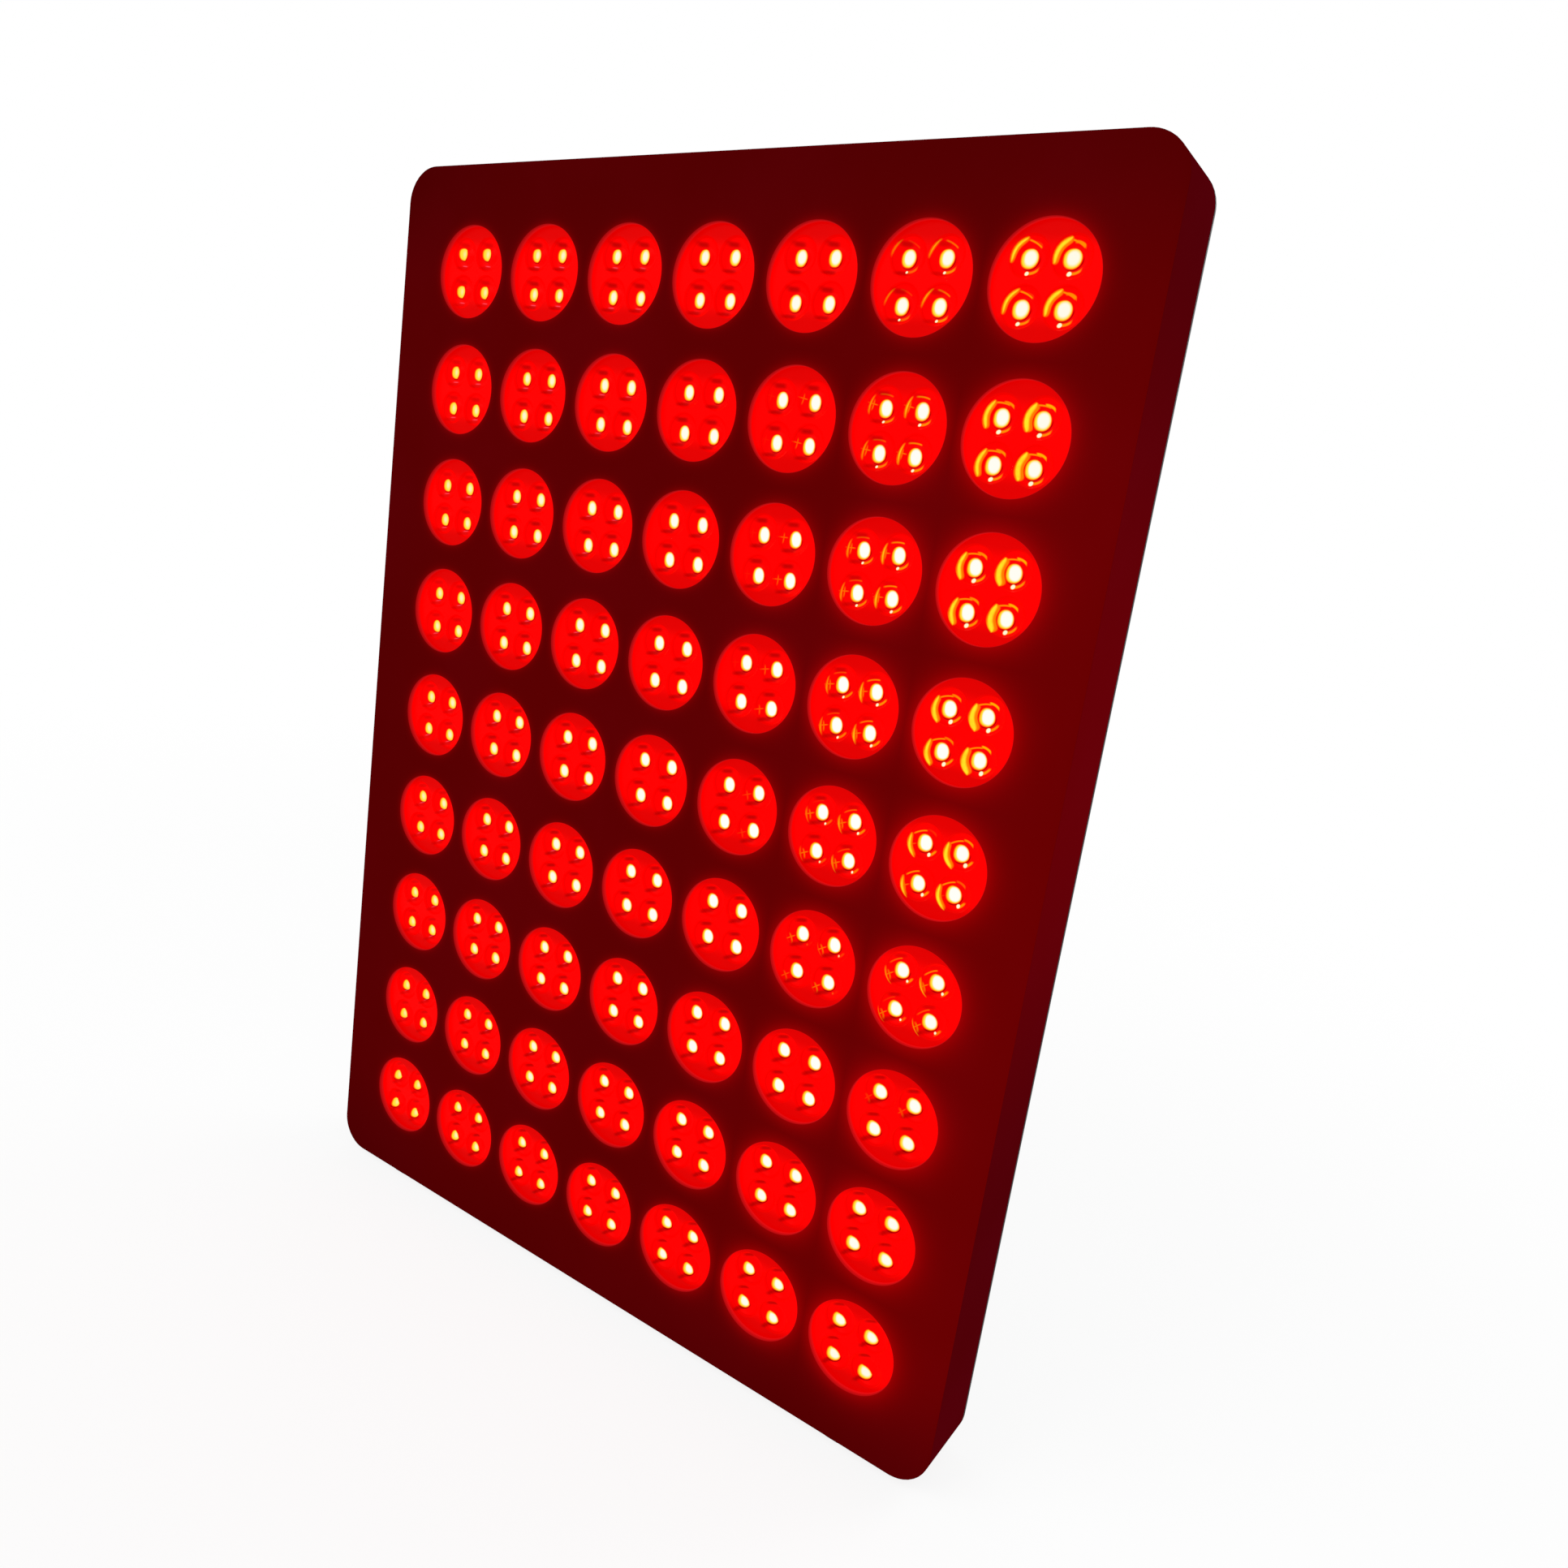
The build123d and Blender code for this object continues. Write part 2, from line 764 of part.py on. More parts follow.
print("panel", panel_width, panel_height, panel_depth, "overall depth", box.max.Y - box.min.Y)
print("shift_y", shift_y, "middle_z", middle_z, "panel_top", panel_top)
print("fan axes z", fan_places, "pivot y z", rocker_pivot_y + shift_y, bay_z)
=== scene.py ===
import bmesh
import bpy
import json
import math
from mathutils import Matrix, Vector


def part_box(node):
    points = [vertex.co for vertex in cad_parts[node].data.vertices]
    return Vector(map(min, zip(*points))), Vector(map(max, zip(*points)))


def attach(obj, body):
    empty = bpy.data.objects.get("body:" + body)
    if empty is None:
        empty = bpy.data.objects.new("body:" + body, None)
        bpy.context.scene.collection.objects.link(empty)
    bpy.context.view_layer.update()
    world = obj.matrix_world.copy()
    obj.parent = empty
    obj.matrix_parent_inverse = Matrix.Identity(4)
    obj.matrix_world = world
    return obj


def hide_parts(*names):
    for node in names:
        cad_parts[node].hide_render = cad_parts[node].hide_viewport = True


# The whole panel: a flat black lamp with 63 round lens windows, lit deep red.
# Its front faces -Y, it stands on two rubber feet at Z = 0, and everything inside
# is carried by the aluminium case. Lengths are metres.
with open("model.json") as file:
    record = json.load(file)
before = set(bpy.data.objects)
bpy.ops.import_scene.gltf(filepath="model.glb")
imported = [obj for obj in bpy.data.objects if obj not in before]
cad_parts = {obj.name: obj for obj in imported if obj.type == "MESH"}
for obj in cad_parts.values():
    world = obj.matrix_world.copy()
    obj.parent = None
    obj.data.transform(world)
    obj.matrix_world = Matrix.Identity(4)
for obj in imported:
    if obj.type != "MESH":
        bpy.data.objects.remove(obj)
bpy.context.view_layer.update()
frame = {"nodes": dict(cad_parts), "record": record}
nodes = frame["nodes"]
mm = 0.001


# Front panel: a 3 mm aluminium plate, laser cut with 63 round windows. Its front edge
# is rounded over and the whole of it is powder coated matte black. It closes the front
# of the side frame, and the lenses lie against its back.
def math_method(operation, swapped=False):
    """A method for Wire that puts it, and what it is summed with, through one math node."""

    def method(self, *others):
        values = (*others, self) if swapped else (self, *others)
        return self.math(operation, *values)

    return method


class Wire:
    """A number or colour on its way through the nodes, with the sums that finishes use."""

    def __init__(self, graph, socket):
        self.graph = graph
        self.socket = socket

    def math(self, operation, *values):
        """Adds a math node and gives its result."""
        inputs = dict(enumerate(values))
        return self.graph.node("ShaderNodeMath", {"operation": operation}, inputs, "Value")

    __add__ = math_method("ADD")
    __radd__ = math_method("ADD", swapped=True)
    __sub__ = math_method("SUBTRACT")
    __rsub__ = math_method("SUBTRACT", swapped=True)
    __mul__ = math_method("MULTIPLY")
    __rmul__ = math_method("MULTIPLY", swapped=True)
    __truediv__ = math_method("DIVIDE")
    __rtruediv__ = math_method("DIVIDE", swapped=True)
    __pow__ = math_method("POWER")
    __rpow__ = math_method("POWER", swapped=True)
    __abs__ = math_method("ABSOLUTE")
    sign = math_method("SIGN")
    fract = math_method("FRACT")
    nearest = math_method("ROUND")
    over = math_method("MAXIMUM")
    under = math_method("MINIMUM")

    def rise(self, start, end):
        """0 below start and 1 above end, with a soft step between them."""
        inputs = {"Value": self, "From Min": start, "From Max": end}
        settings = {"interpolation_type": "SMOOTHSTEP"}
        return self.graph.node("ShaderNodeMapRange", settings, inputs, "Result")

    def fade(self, start, end):
        """1 below start and 0 above end, with a soft step between them."""
        return 1.0 - self.rise(start, end)


class Graph:
    """The nodes of a material, or of the surround."""

    def __init__(self, tree):
        self.tree = tree

    def node(self, kind, settings, inputs, output):
        """Adds a node: its settings go in first, then the values or links of its sockets."""
        node = self.tree.nodes.new(kind)
        for name, value in settings.items():
            setattr(node, name, value)
        for name, value in inputs.items():
            self.plug(node.inputs[name], value)
        return Wire(self, node.outputs[output])

    def plug(self, socket, value):
        """Links a wire to a socket, or sets the socket to a value."""
        if isinstance(value, Wire):
            self.tree.links.new(value.socket, socket)
        elif isinstance(value, tuple) and socket.type == "RGBA":
            socket.default_value = (*value, 1.0)
        else:
            socket.default_value = value

    def colour(self, red, green, blue):
        """One colour from three numbers."""
        inputs = {"Red": red, "Green": green, "Blue": blue}
        return self.node("ShaderNodeCombineColor", {}, inputs, "Color")

    def mix(self, factor, first, second):
        """Blends two colours."""
        inputs = {0: factor, 6: first, 7: second}
        return self.node("ShaderNodeMix", {"data_type": "RGBA"}, inputs, 2)

    def place(self):
        """Where a point lies in the panel's frame, as three numbers in metres."""
        point = self.node("ShaderNodeTexCoord", {}, {}, "Object")
        return [self.node("ShaderNodeSeparateXYZ", {}, {"Vector": point}, axis) for axis in "XYZ"]

    def noise(self, scale, detail=2.0, stretch=(1.0, 1.0, 1.0)):
        """Random variation between 0 and 1. The scale is in lumps for each metre."""
        point = self.node("ShaderNodeTexCoord", {}, {}, "Object")
        inputs = {"Vector": point, "Scale": stretch}
        point = self.node("ShaderNodeMapping", {}, inputs, "Vector")
        inputs = {"Vector": point, "Scale": scale, "Detail": detail}
        return self.node("ShaderNodeTexNoise", {}, inputs, "Fac")


class Finish(Graph):
    """A surface finish: one material around a principled shader."""

    def __init__(self, name, **constants):
        self.material = bpy.data.materials.new(name)
        self.material.use_nodes = True
        super().__init__(self.material.node_tree)
        self.shader = self.tree.nodes["Principled BSDF"]
        for socket, value in constants.items():
            self.shader.inputs[socket.replace("_", " ")].default_value = value

    def feed(self, **links):
        """Plugs values into the shader's sockets, with _ for a space in their names."""
        for name, value in links.items():
            self.plug(self.shader.inputs[name.replace("_", " ")], value)

    def glow(self, red, green, blue):
        """Light that the surface gives off, or that its neighbours throw on it."""
        self.feed(Emission_Color=self.colour(red, green, blue))
        self.shader.inputs["Emission Strength"].default_value = 1.0

    def bump(self, height, depth):
        """Raises the surface by a height from 0 to 1 times a depth in metres."""
        inputs = {"Strength": 1.0, "Distance": depth, "Height": height}
        self.feed(Normal=self.node("ShaderNodeBump", {}, inputs, "Normal"))


def disc(x, z, radius, steps):
    """Points round a circle."""
    turns = [2 * math.pi * k / steps for k in range(steps)]
    return [(x + radius * math.cos(turn), z + radius * math.sin(turn)) for turn in turns]


def soft_outline(corners, radius, steps=3):
    """Points round an outline whose corners are rounded."""
    corners = [Vector(corner) for corner in corners]
    points = []
    for k, corner in enumerate(corners):
        before = (corners[k - 1] - corner).normalized()
        after = (corners[(k + 1) % len(corners)] - corner).normalized()
        half = before.angle(after) / 2
        centre = corner + (before + after).normalized() * radius / math.sin(half)
        start = corner + before * radius / math.tan(half) - centre
        end = corner + after * radius / math.tan(half) - centre
        for step in range(steps + 1):
            points.append(centre + start.lerp(end, step / steps).normalized() * radius)
    return points


def rounded_box(low, high, inset, radius, steps=4):
    """Points round a rounded rectangle, drawn in by inset."""
    least_radius = 0.1 * mm
    left, right = low[0] + inset, high[0] - inset
    bottom, top = low[1] + inset, high[1] - inset
    corners = [(right, top), (left, top), (left, bottom), (right, bottom)]
    return soft_outline(corners, max(radius - inset, least_radius), steps)


def rounded_over(radius, steps=4):
    """Steps over a rounded edge: how far each is drawn in, and how far below the face."""
    turns = [math.radians(90 * step / steps) for step in range(steps + 1)]
    return [(radius * (1 - math.cos(turn)), radius * (1 - math.sin(turn))) for turn in turns]


def upright(outline, y):
    """An outline seen from the front, set at its depth."""
    return [(x, y, z) for x, z in outline]


class Shape:
    """The points and faces of a piece while it is being made."""

    def __init__(self):
        self.points = []
        self.faces = []

    def wrap(self, loops, closed=False):
        """Adds rings of points with a strip of faces from each ring to the next."""
        starts = []
        for loop in loops:
            starts.append(len(self.points))
            self.points.extend(loop)
        count = len(loops[0])
        pairs = zip(starts, starts[1:] + starts[:1]) if closed else zip(starts, starts[1:])
        for first, second in pairs:
            for k in range(count):
                after = (k + 1) % count
                self.faces.append((first + k, first + after, second + after, second + k))
        return [range(start, start + count) for start in starts]

    def cap(self, ring):
        """Closes a ring with one flat face."""
        self.faces.append(tuple(ring))

    def rod(self, loops):
        """Adds rings of points as a solid rod, flat at both ends."""
        rings = self.wrap(loops)
        self.cap(rings[0])
        self.cap(rings[-1])

    def fill(self, outer, holes):
        """Fills a flat face with holes, from the numbers of the points round each."""
        flat = bmesh.new()
        edges = []
        numbers = {}
        for loop in [outer, *holes]:
            corners = [flat.verts.new(self.points[k]) for k in loop]
            numbers.update(zip(corners, loop))
            edges += [flat.edges.new((a, b)) for a, b in zip(corners, corners[1:] + corners[:1])]
        bmesh.ops.triangle_fill(flat, use_beauty=True, use_dissolve=False, edges=edges)
        self.faces += [tuple(numbers[corner] for corner in face.verts) for face in flat.faces]
        flat.free()

    def plate(self, edge, holes):
        """Adds a plate: loops round its edge from face to face, and down each hole back."""
        rims = self.wrap(edge)
        ends = []
        for loops in holes:
            rings = self.wrap(loops)
            ends.append((rings[0], rings[-1]))
        self.fill(rims[0], [last for first, last in ends])
        self.fill(rims[-1], [first for first, last in ends])

    def mesh(self, name):
        """The points and faces as a mesh of Blender's."""
        mesh = bpy.data.meshes.new(name)
        mesh.from_pydata(self.points, [], self.faces)
        return mesh

    def piece(self, name, finish, body, slot, node=None, sharp_angle=38.0):
        """A piece on a body, in place of a CAD node, with its rounded parts shaded smooth."""
        mesh = self.mesh(name)
        work = bmesh.new()
        work.from_mesh(mesh)
        bmesh.ops.recalc_face_normals(work, faces=work.faces)
        for face in work.faces:
            face.smooth = True
        for edge in work.edges:
            edge.smooth = edge.calc_face_angle(0.0) < math.radians(sharp_angle)
        work.to_mesh(mesh)
        work.free()
        mesh.materials.append(finish.material)
        piece = bpy.data.objects.new(name, mesh)
        bpy.context.scene.collection.objects.link(piece)
        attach(piece, body)
        if node:
            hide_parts(node)
        return piece


column_count = 7
row_count = 9
lens_gap = 2.0 * mm
lens_boxes = [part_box(f"lens_row_{row}") for row in range(1, row_count + 1)]
column_pitch = (lens_boxes[0][1].x - lens_boxes[0][0].x + lens_gap) / column_count
grid_centre = (lens_boxes[0][0].x + lens_boxes[0][1].x) / 2
column_places = [
    grid_centre + (k - (column_count - 1) / 2) * column_pitch for k in range(column_count)
]
row_places = [(low.z + high.z) / 2 for low, high in lens_boxes]
row_pitch = row_places[0] - row_places[1]
grid_middle = row_places[row_count // 2]
window_radius = 25.0 * mm
window_ease = 0.35 * mm
window_steps = 56
rim_turns = [math.radians(angle) for angle in (0, 30, 60, 90)]
front_round = 2.5 * mm
front_steps = 5
corner_round = 20.0 * mm
corner_steps = 12
panel_low, panel_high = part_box("front_panel")


def case_outline(inset):
    """The rounded rectangle of the case, drawn in by inset."""
    low, high = (panel_low.x, panel_low.z), (panel_high.x, panel_high.z)
    return rounded_box(low, high, inset, corner_round, corner_steps)


def window_offset(finish):
    """How far a point lies from the middle of its nearest window, across and up, in mm."""
    x, y, z = finish.place()
    x = x - grid_centre
    column = (x / column_pitch).nearest()
    row = ((z - grid_middle) / row_pitch).nearest()
    last_column, last_row = column_count // 2, row_count // 2
    column = column.over(-last_column).under(last_column)
    row = row.over(-last_row).under(last_row)
    return (x - column * column_pitch) / mm, (z - grid_middle - row * row_pitch) / mm


def powder_coat(name, shine, dark, light):
    """Matte powder coat: fine orange peel over a colour that drifts very slightly."""
    finish = Finish(name, Specular_IOR_Level=shine)
    grain = finish.noise(2600.0, 3.0)
    cloud = finish.noise(14.0, 3.0)
    finish.feed(Base_Color=finish.mix(cloud.rise(0.4, 0.7), dark, light))
    finish.feed(Roughness=0.56 + 0.12 * grain)
    finish.bump(grain, 0.05 * mm)
    return finish


def front_coat_and_painted_glow():
    """The coat of the front, near black with a red tint of painted light, and painted red light
    from the lenses: bright on the windows' walls, a halo, then an even red spill.
    """
    finish = powder_coat("case_black_front_painted_glow", 0.0, (0.006, 0.0003, 0.0006), (0.011, 0.0004, 0.0012))
    x, y, z = finish.place()
    across, up = window_offset(finish)
    away = (across * across + up * up) ** 0.5
    rim = window_radius / mm
    beyond = (away - rim).over(0.0)
    # Painted light from the lenses: stronger towards the right and over the grid of windows, weaker
    # at the far left and at the top; the back face takes none of the spill.
    near = x.rise(-0.02, 0.2) * (1.0 - 0.6 * z.rise(0.46, 0.6))
    halo = (0.10 + 0.09 * near) * math.e ** (beyond / (-1.5 - 3.5 * near))
    ends = abs(z - grid_middle).fade(0.24, 0.32)
    left = x.rise(-0.26, -0.1)
    painted_red_spill = 0.062 + 0.014 * left + ends * (0.018 + 0.038 * near)
    painted_red_spill = painted_red_spill + 0.012 * (finish.noise(9.0) - 0.5)
    wall = away.fade(rim + 0.05, rim + 0.3)
    depth = y.rise(panel_low.y, panel_high.y)
    inside = y.rise(panel_high.y - 0.2 * mm, panel_high.y)
    red = (painted_red_spill + halo) * (1.0 - inside) + wall * (0.2 + 0.35 * depth)
    finish.glow(red, 0.004 * wall, 0.005 * wall)
    return finish


def make_front_panel():
    """The plate, with one round window for each lens."""
    shape = Shape()
    front, back = panel_low.y, panel_high.y
    edge = [upright(case_outline(0.0), back)]
    for inset, depth in rounded_over(front_round, front_steps):
        edge.append(upright(case_outline(inset), front + depth))
    windows = []
    for z in row_places:
        for x in column_places:
            loops = []
            for turn in rim_turns:
                radius = window_radius + window_ease * (1 - math.sin(turn))
                depth = front + window_ease * (1 - math.cos(turn))
                loops.append(upright(disc(x, z, radius, window_steps), depth))
            loops.append(upright(disc(x, z, window_radius, window_steps), back))
            windows.append(loops)
    shape.plate(edge, windows)
    coat = front_coat_and_painted_glow()
    shape.piece("front_plate", coat, "panel", "case_black", "front_panel")


make_front_panel()


# Lenses: 63 clear acrylic mouldings, each a square flange with four collimator cups.
# The flange lies against the back of the front panel, and the domed eye at the bottom
# of each cup gathers the light of one LED.
cell_across = 9.5 * mm
cell_up = 10.1 * mm
cell_radius = 9.3 * mm
cup_depth = 3.6 * mm
cup_profile = [(1.0, 0.0), (0.965, 0.3), (0.86, 0.62), (0.7, 0.88), (0.54, 1.0)]
eye_radius = 3.9 * mm
eye_rise = 0.7 * mm
eye_rings = (1.0, 0.85, 0.6, 0.3)
flange_thickness = 1.8 * mm
flange_corner = 3.0 * mm
cone_radius = 9.45 * mm
cone_tip_radius = 4.4 * mm
cup_steps = 32


def lit_acrylic():
    """Clear acrylic flooded with red light, with a white-hot eye in each cup."""
    finish = Finish("lens_red", Specular_IOR_Level=0.012)
    x, y, z = finish.place()
    across, up = window_offset(finish)
    dx = across - across.sign() * (cell_across / mm)
    dz = up - up.sign() * (cell_up / mm)
    away = (dx * dx + dz * dz) ** 0.5
    col = x - grid_centre
    row = z - grid_middle
    far = col.fade(-0.19, -0.11)

    # Red flood: full inside the cells, a shade deeper on the land between them, and painted shade
    # on the land near the top and bottom of each window
    land = away.rise(8.3, 9.6)
    bright = 0.94 - land * (0.02 + 0.24 * abs(up).rise(12.0, 20.0))
    bright = bright * (1.0 - 0.1 * abs(away - 8.7).fade(0.1, 0.35))
    bright = bright * (1.0 + 0.06 * (finish.noise(90.0) - 0.5))

    # The eye shows its LED enlarged. The image slides over the eye towards the edges of
    # the panel and is smallest at the far side
    col_col, col_row, row_row = col * col, col * row, row * row
    spread = col_col + row_row

    def drift(middle, by_col, by_row, by_col_col, by_col_row, by_row_row):
        """A value that drifts smoothly over the panel from what it is at the middle."""
        slope = middle + col * by_col + row * by_row
        return slope + col_col * by_col_col + col_row * by_col_row + row_row * by_row_row

    eye_x = drift(-0.38, 91.9 * spread - 1.5, 3.0 - 19.5 * spread, -22.65, 2.0, -16.2)
    eye_z = drift(-0.98, -0.94 - 6.9 * spread, 81.0 * spread - 1.43, -5.5, -3.5, -3.7)
    half_x = drift(3.0, 24.7 * spread + 0.7, 18.3 * spread - 1.24, 2.5, -1.0, -3.7)
    half_z = drift(3.71, 1.7, 0.8, -4.4, 1.8, -7.2)
    level = drift(0.95, 1.32, 0.0, -6.8, 0.0, -1.9).under(1.0)
    ex = dx - eye_x
    ez = dz - eye_z
    reach = (ex * ex + ez * ez) ** 0.5

    square = 2.0 + 0.3 * ex.fade(-1.0, 1.0)

    def oval(shift_x, shift_z, grow_x, grow_z):
        """How far out of the eye a point lies, with 1 on its edge."""
        wide = (ex - shift_x) / (half_x + grow_x)
        tall = (ez - shift_z) / (half_z + grow_z)
        return (abs(wide) ** square + abs(tall) ** square) ** (1.0 / square)

    rim = oval(-0.5, -0.15, 0.8, 0.5)
    orange = rim.fade(0.92, 1.01)
    yellow = oval(-0.35, -0.12, 0.55, 0.32).fade(0.86, 1.02)
    white = oval(0.0, 0.0, 0.0, 0.0).fade(1.3 * level - 0.5, 1.03) * level
    shadow = abs(rim - 1.1).fade(0.02, 0.09) * ez.fade(-1.5, 1.5) * ex.rise(-4.0, -1.0)

    # A crescent where the wall of a cup mirrors its LED. It swings round the eye and
    # dies away down the panel, and grows towards the side that faces the viewer
    last_column = (column_count // 2) * column_pitch
    power = (col / last_column).over(0.0) ** 2.6
    power = power * row.rise(-0.16, 0.1) * (1.0 - 0.25 * row.rise(0.2, 0.25))
    turn = 0.384 - 2.62 * row - 0.2 * row.rise(0.21, 0.245)
    turn_cos, turn_sin = turn.math("COSINE", turn), turn.math("SINE", turn)
    out = -1.0 * (ex * turn_cos + ez * turn_sin)
    side = ez * turn_cos - ex * turn_sin
    blunt = power.rise(0.3, 0.7)
    taper = 1.0 - (abs(side) / (5.6 + 0.9 * blunt)) ** (2.0 + 2.0 * blunt)
    thick = 3.2 * power * taper.over(0.0)
    wall_reach = 8.5
    outer = wall_reach - reach
    inner = reach - wall_reach + thick
    shown = out.rise(1.5, 3.0) * thick.rise(0.15, 0.5)
    crescent = outer.rise(-0.1, 0.4) * inner.rise(-0.25, 0.35) * shown
    core = outer.rise(0.2, 0.8) * inner.rise(0.22 * thick, 0.55 * thick) * shown
    core = core * (0.6 + 0.6 * finish.noise(400.0))

    # Painted glints of reflected light: a thin bridge from the crescent over the eye, a cap
    # at its end, and a small cross where the crescent is only beginning
    roof = ((side + 7.0) * (side + 7.0) + (out - 1.0) * (out - 1.0)) ** 0.5
    bridge = abs(roof - 12.9).fade(0.12, 0.5) * out.rise(-1.8, -0.8) * out.fade(4.2, 5.6)
    bridge = bridge * power.rise(0.15, 0.5)
    cap = abs(reach - 6.4).fade(0.25, 0.75) * abs(ex - 2.0).fade(1.8, 2.8) * ez.rise(2.6, 4.0)
    cap = cap * power.rise(0.6, 1.1)
    faint = 0.7 * power.rise(0.015, 0.1) * power.fade(0.4, 0.7) * row.fade(0.2, 0.25)
    cross = abs(side - 0.4).fade(0.05, 0.4) * abs(out - 6.9).fade(0.6, 2.2)
    cross = cross.over(0.8 * abs(out - 7.0).fade(0.05, 0.4) * abs(side).fade(1.0, 3.0)) * faint

    # A painted white glint under the eye, with a painted orange streak of reflected light
    # running from it round the cell
    bead_x = dx + 1.2 - 3.4 * row.fade(-0.07, 0.25)
    bead_z = dz + 6.0 + 1.1 * abs(row - 0.125).fade(0.05, 0.18)
    bead_size = 0.45 + 0.65 * (1.2 * power).under(1.0)
    bead_glint = ((bead_x * bead_x + bead_z * bead_z) ** 0.5 / bead_size).fade(0.7, 1.15)
    bead_glint = bead_glint * power.rise(0.08, 0.2)
    streak_glint = abs(reach - 6.1).fade(0.25, 0.85) * abs(bead_x - 2.4).fade(1.6, 3.0)
    streak_glint = streak_glint * ez.fade(-3.4, -2.0) * power.rise(0.08, 0.4)

    # Painted dark reflections over and under the eye in the farther columns, where the cup's
    # wall mirrors the unlit board, and a thin painted pink glint under the eye
    tilt = (0.2 - 0.9 * row) * (dx + 2.8)
    dark_reflection = abs(dz - 5.7 - tilt).fade(0.2, 1.9) + abs(dz + 6.9 - tilt).fade(0.2, 1.7)
    dark_reflection = dark_reflection * abs(dx + 3.0).fade(1.2, 4.6) * power.fade(0.1, 0.6) * (1.0 - 0.5 * far)
    pink = abs(dz + 5.6 - 2.0 * tilt).fade(0.05, 0.45) * abs(dx + 2.4).fade(0.6, 2.2)
    pink = pink * col.fade(-0.09, 0.0) * row.rise(-0.24, -0.16)

    flare = crescent.over(cross).over(bead_glint).over(streak_glint).over(bridge).over(cap)
    red = bright * (1.0 - 0.65 * shadow) * (1.0 - 0.5 * dark_reflection)
    red = red.over(orange).over(flare)
    green = orange * 0.25 + yellow * 0.5 + white * 0.25
    green = green.over(crescent * 0.2 + core * 0.62).over(bead_glint * 0.95).over(cap * 0.42)
    green = green.over(streak_glint * 0.27).over(cross * 0.24).over(bridge * 0.26)
    green = green.over(pink * 0.06)
    blue = (yellow * 0.04 + white * 0.92).over(bead_glint * bead_glint * 0.7).over(core * 0.02).over(pink * 0.1)
    finish.glow(red, green, blue)
    # A dark red base colour: painted red light in the clear acrylic.
    cloud = finish.noise(60.0)
    finish.feed(Base_Color=finish.mix(cloud, (0.09, 0.0, 0.0), (0.13, 0.0, 0.0)))
    finish.feed(Roughness=0.25 + 0.2 * cloud)
    return finish


def add_lens(shape, x, z, front, back):
    """One moulded lens: flange, four cups with domed eyes, and the four cones behind."""
    across = (column_pitch - lens_gap) / 2
    height = (row_pitch - lens_gap) / 2
    flange = rounded_box((x - across, z - height), (x + across, z + height), 0.0, flange_corner)
    flange_back = front + flange_thickness
    rims = shape.wrap([upright(flange, flange_back), upright(flange, front)])
    mouths, roots = [], []
    for side in (-1, 1):
        for level in (-1, 1):
            cell = (x + side * cell_across, z + level * cell_up)
            cup = [
                upright(disc(*cell, share * cell_radius, cup_steps), front + depth * cup_depth)
                for share, depth in cup_profile
            ]
            for share in eye_rings:
                rise = eye_rise * math.sqrt(1 - share * share)
                eye = disc(*cell, share * eye_radius, cup_steps)
                cup.append(upright(eye, front + cup_depth - rise))
            rings = shape.wrap(cup)
            mouths.append(rings[0])
            shape.cap(rings[-1])
            cone = [
                upright(disc(*cell, cone_radius, cup_steps), flange_back),
                upright(disc(*cell, cone_tip_radius, cup_steps), back),
            ]
            rings = shape.wrap(cone)
            roots.append(rings[0])
            shape.cap(rings[-1])
    shape.fill(rims[0], roots)
    shape.fill(rims[1], mouths)


def make_lenses():
    """Nine rows of seven lenses."""
    acrylic = lit_acrylic()
    for row, (low, high) in enumerate(lens_boxes, start=1):
        shape = Shape()
        for x in column_places:
            add_lens(shape, x, row_places[row - 1], low.y, high.y)
        node = f"lens_row_{row}"
        shape.piece(f"lenses_{row}", acrylic, "panel", "lens_clear", node)


make_lenses()


# LEDs and their boards: white aluminium-core boards, one for each row, with four
# surface-mount emitters behind each lens. The boards lie flat against the heat sink
# over thin silicone pads, and small nylon plugs bridge each board to the next.
def dress(finish, *names):
    """Gives CAD pieces whose shape is right a better finish."""
    for name in names:
        for place in nodes[name].material_slots:
            place.material = finish.material


def mottled(name, dark, light, lump, roughness, depth, stretch=(1.0, 1.0, 1.0), **constants):
    """A finish whose colour and roughness drift a little, over a fine grain."""
    finish = Finish(name, **constants)
    drift = finish.noise(1.0 / lump, 3.0, stretch)
    grain = finish.noise(16.0 / lump, 2.0, stretch)
    finish.feed(Base_Color=finish.mix(drift.rise(0.35, 0.65), dark, light))
    finish.feed(Roughness=roughness[0] + (roughness[1] - roughness[0]) * grain)
    finish.bump(grain, depth)
    return finish


def emitter_finish():
    """A white ceramic package round a glowing die, with painted red light from the die over the
    whole package.
    """
    finish = Finish("emitter_lit", Roughness=0.4)
    across, up = window_offset(finish)
    die = abs(abs(across) - cell_across / mm).over(abs(abs(up) - cell_up / mm))
    lit = die.fade(1.0, 1.4)
    finish.feed(Base_Color=finish.mix(lit, (0.8, 0.78, 0.7), (0.9, 0.5, 0.3)))
    finish.glow(0.25 + 0.75 * lit, 0.05 + 0.85 * lit, 0.02 + 0.7 * lit)
    return finish


def board_finish():
    """White solder mask over copper tracks that just show through."""
    finish = Finish("solder_mask", Roughness=0.35)
    x, y, z = finish.place()
    track = abs(((z - grid_middle) / row_pitch * 4.0).fract() - 0.5).fade(0.30, 0.34)
    break_up = abs((x / column_pitch * 2.0).fract() - 0.5).rise(0.03, 0.05)
    track = track * break_up
    cloud = finish.noise(200.0)
    finish.feed(Base_Color=finish.mix(track, (0.78, 0.78, 0.74), (0.86, 0.86, 0.84)))
    finish.feed(Roughness=0.3 + 0.15 * cloud)
    finish.bump(track, 0.03 * mm)
    return finish


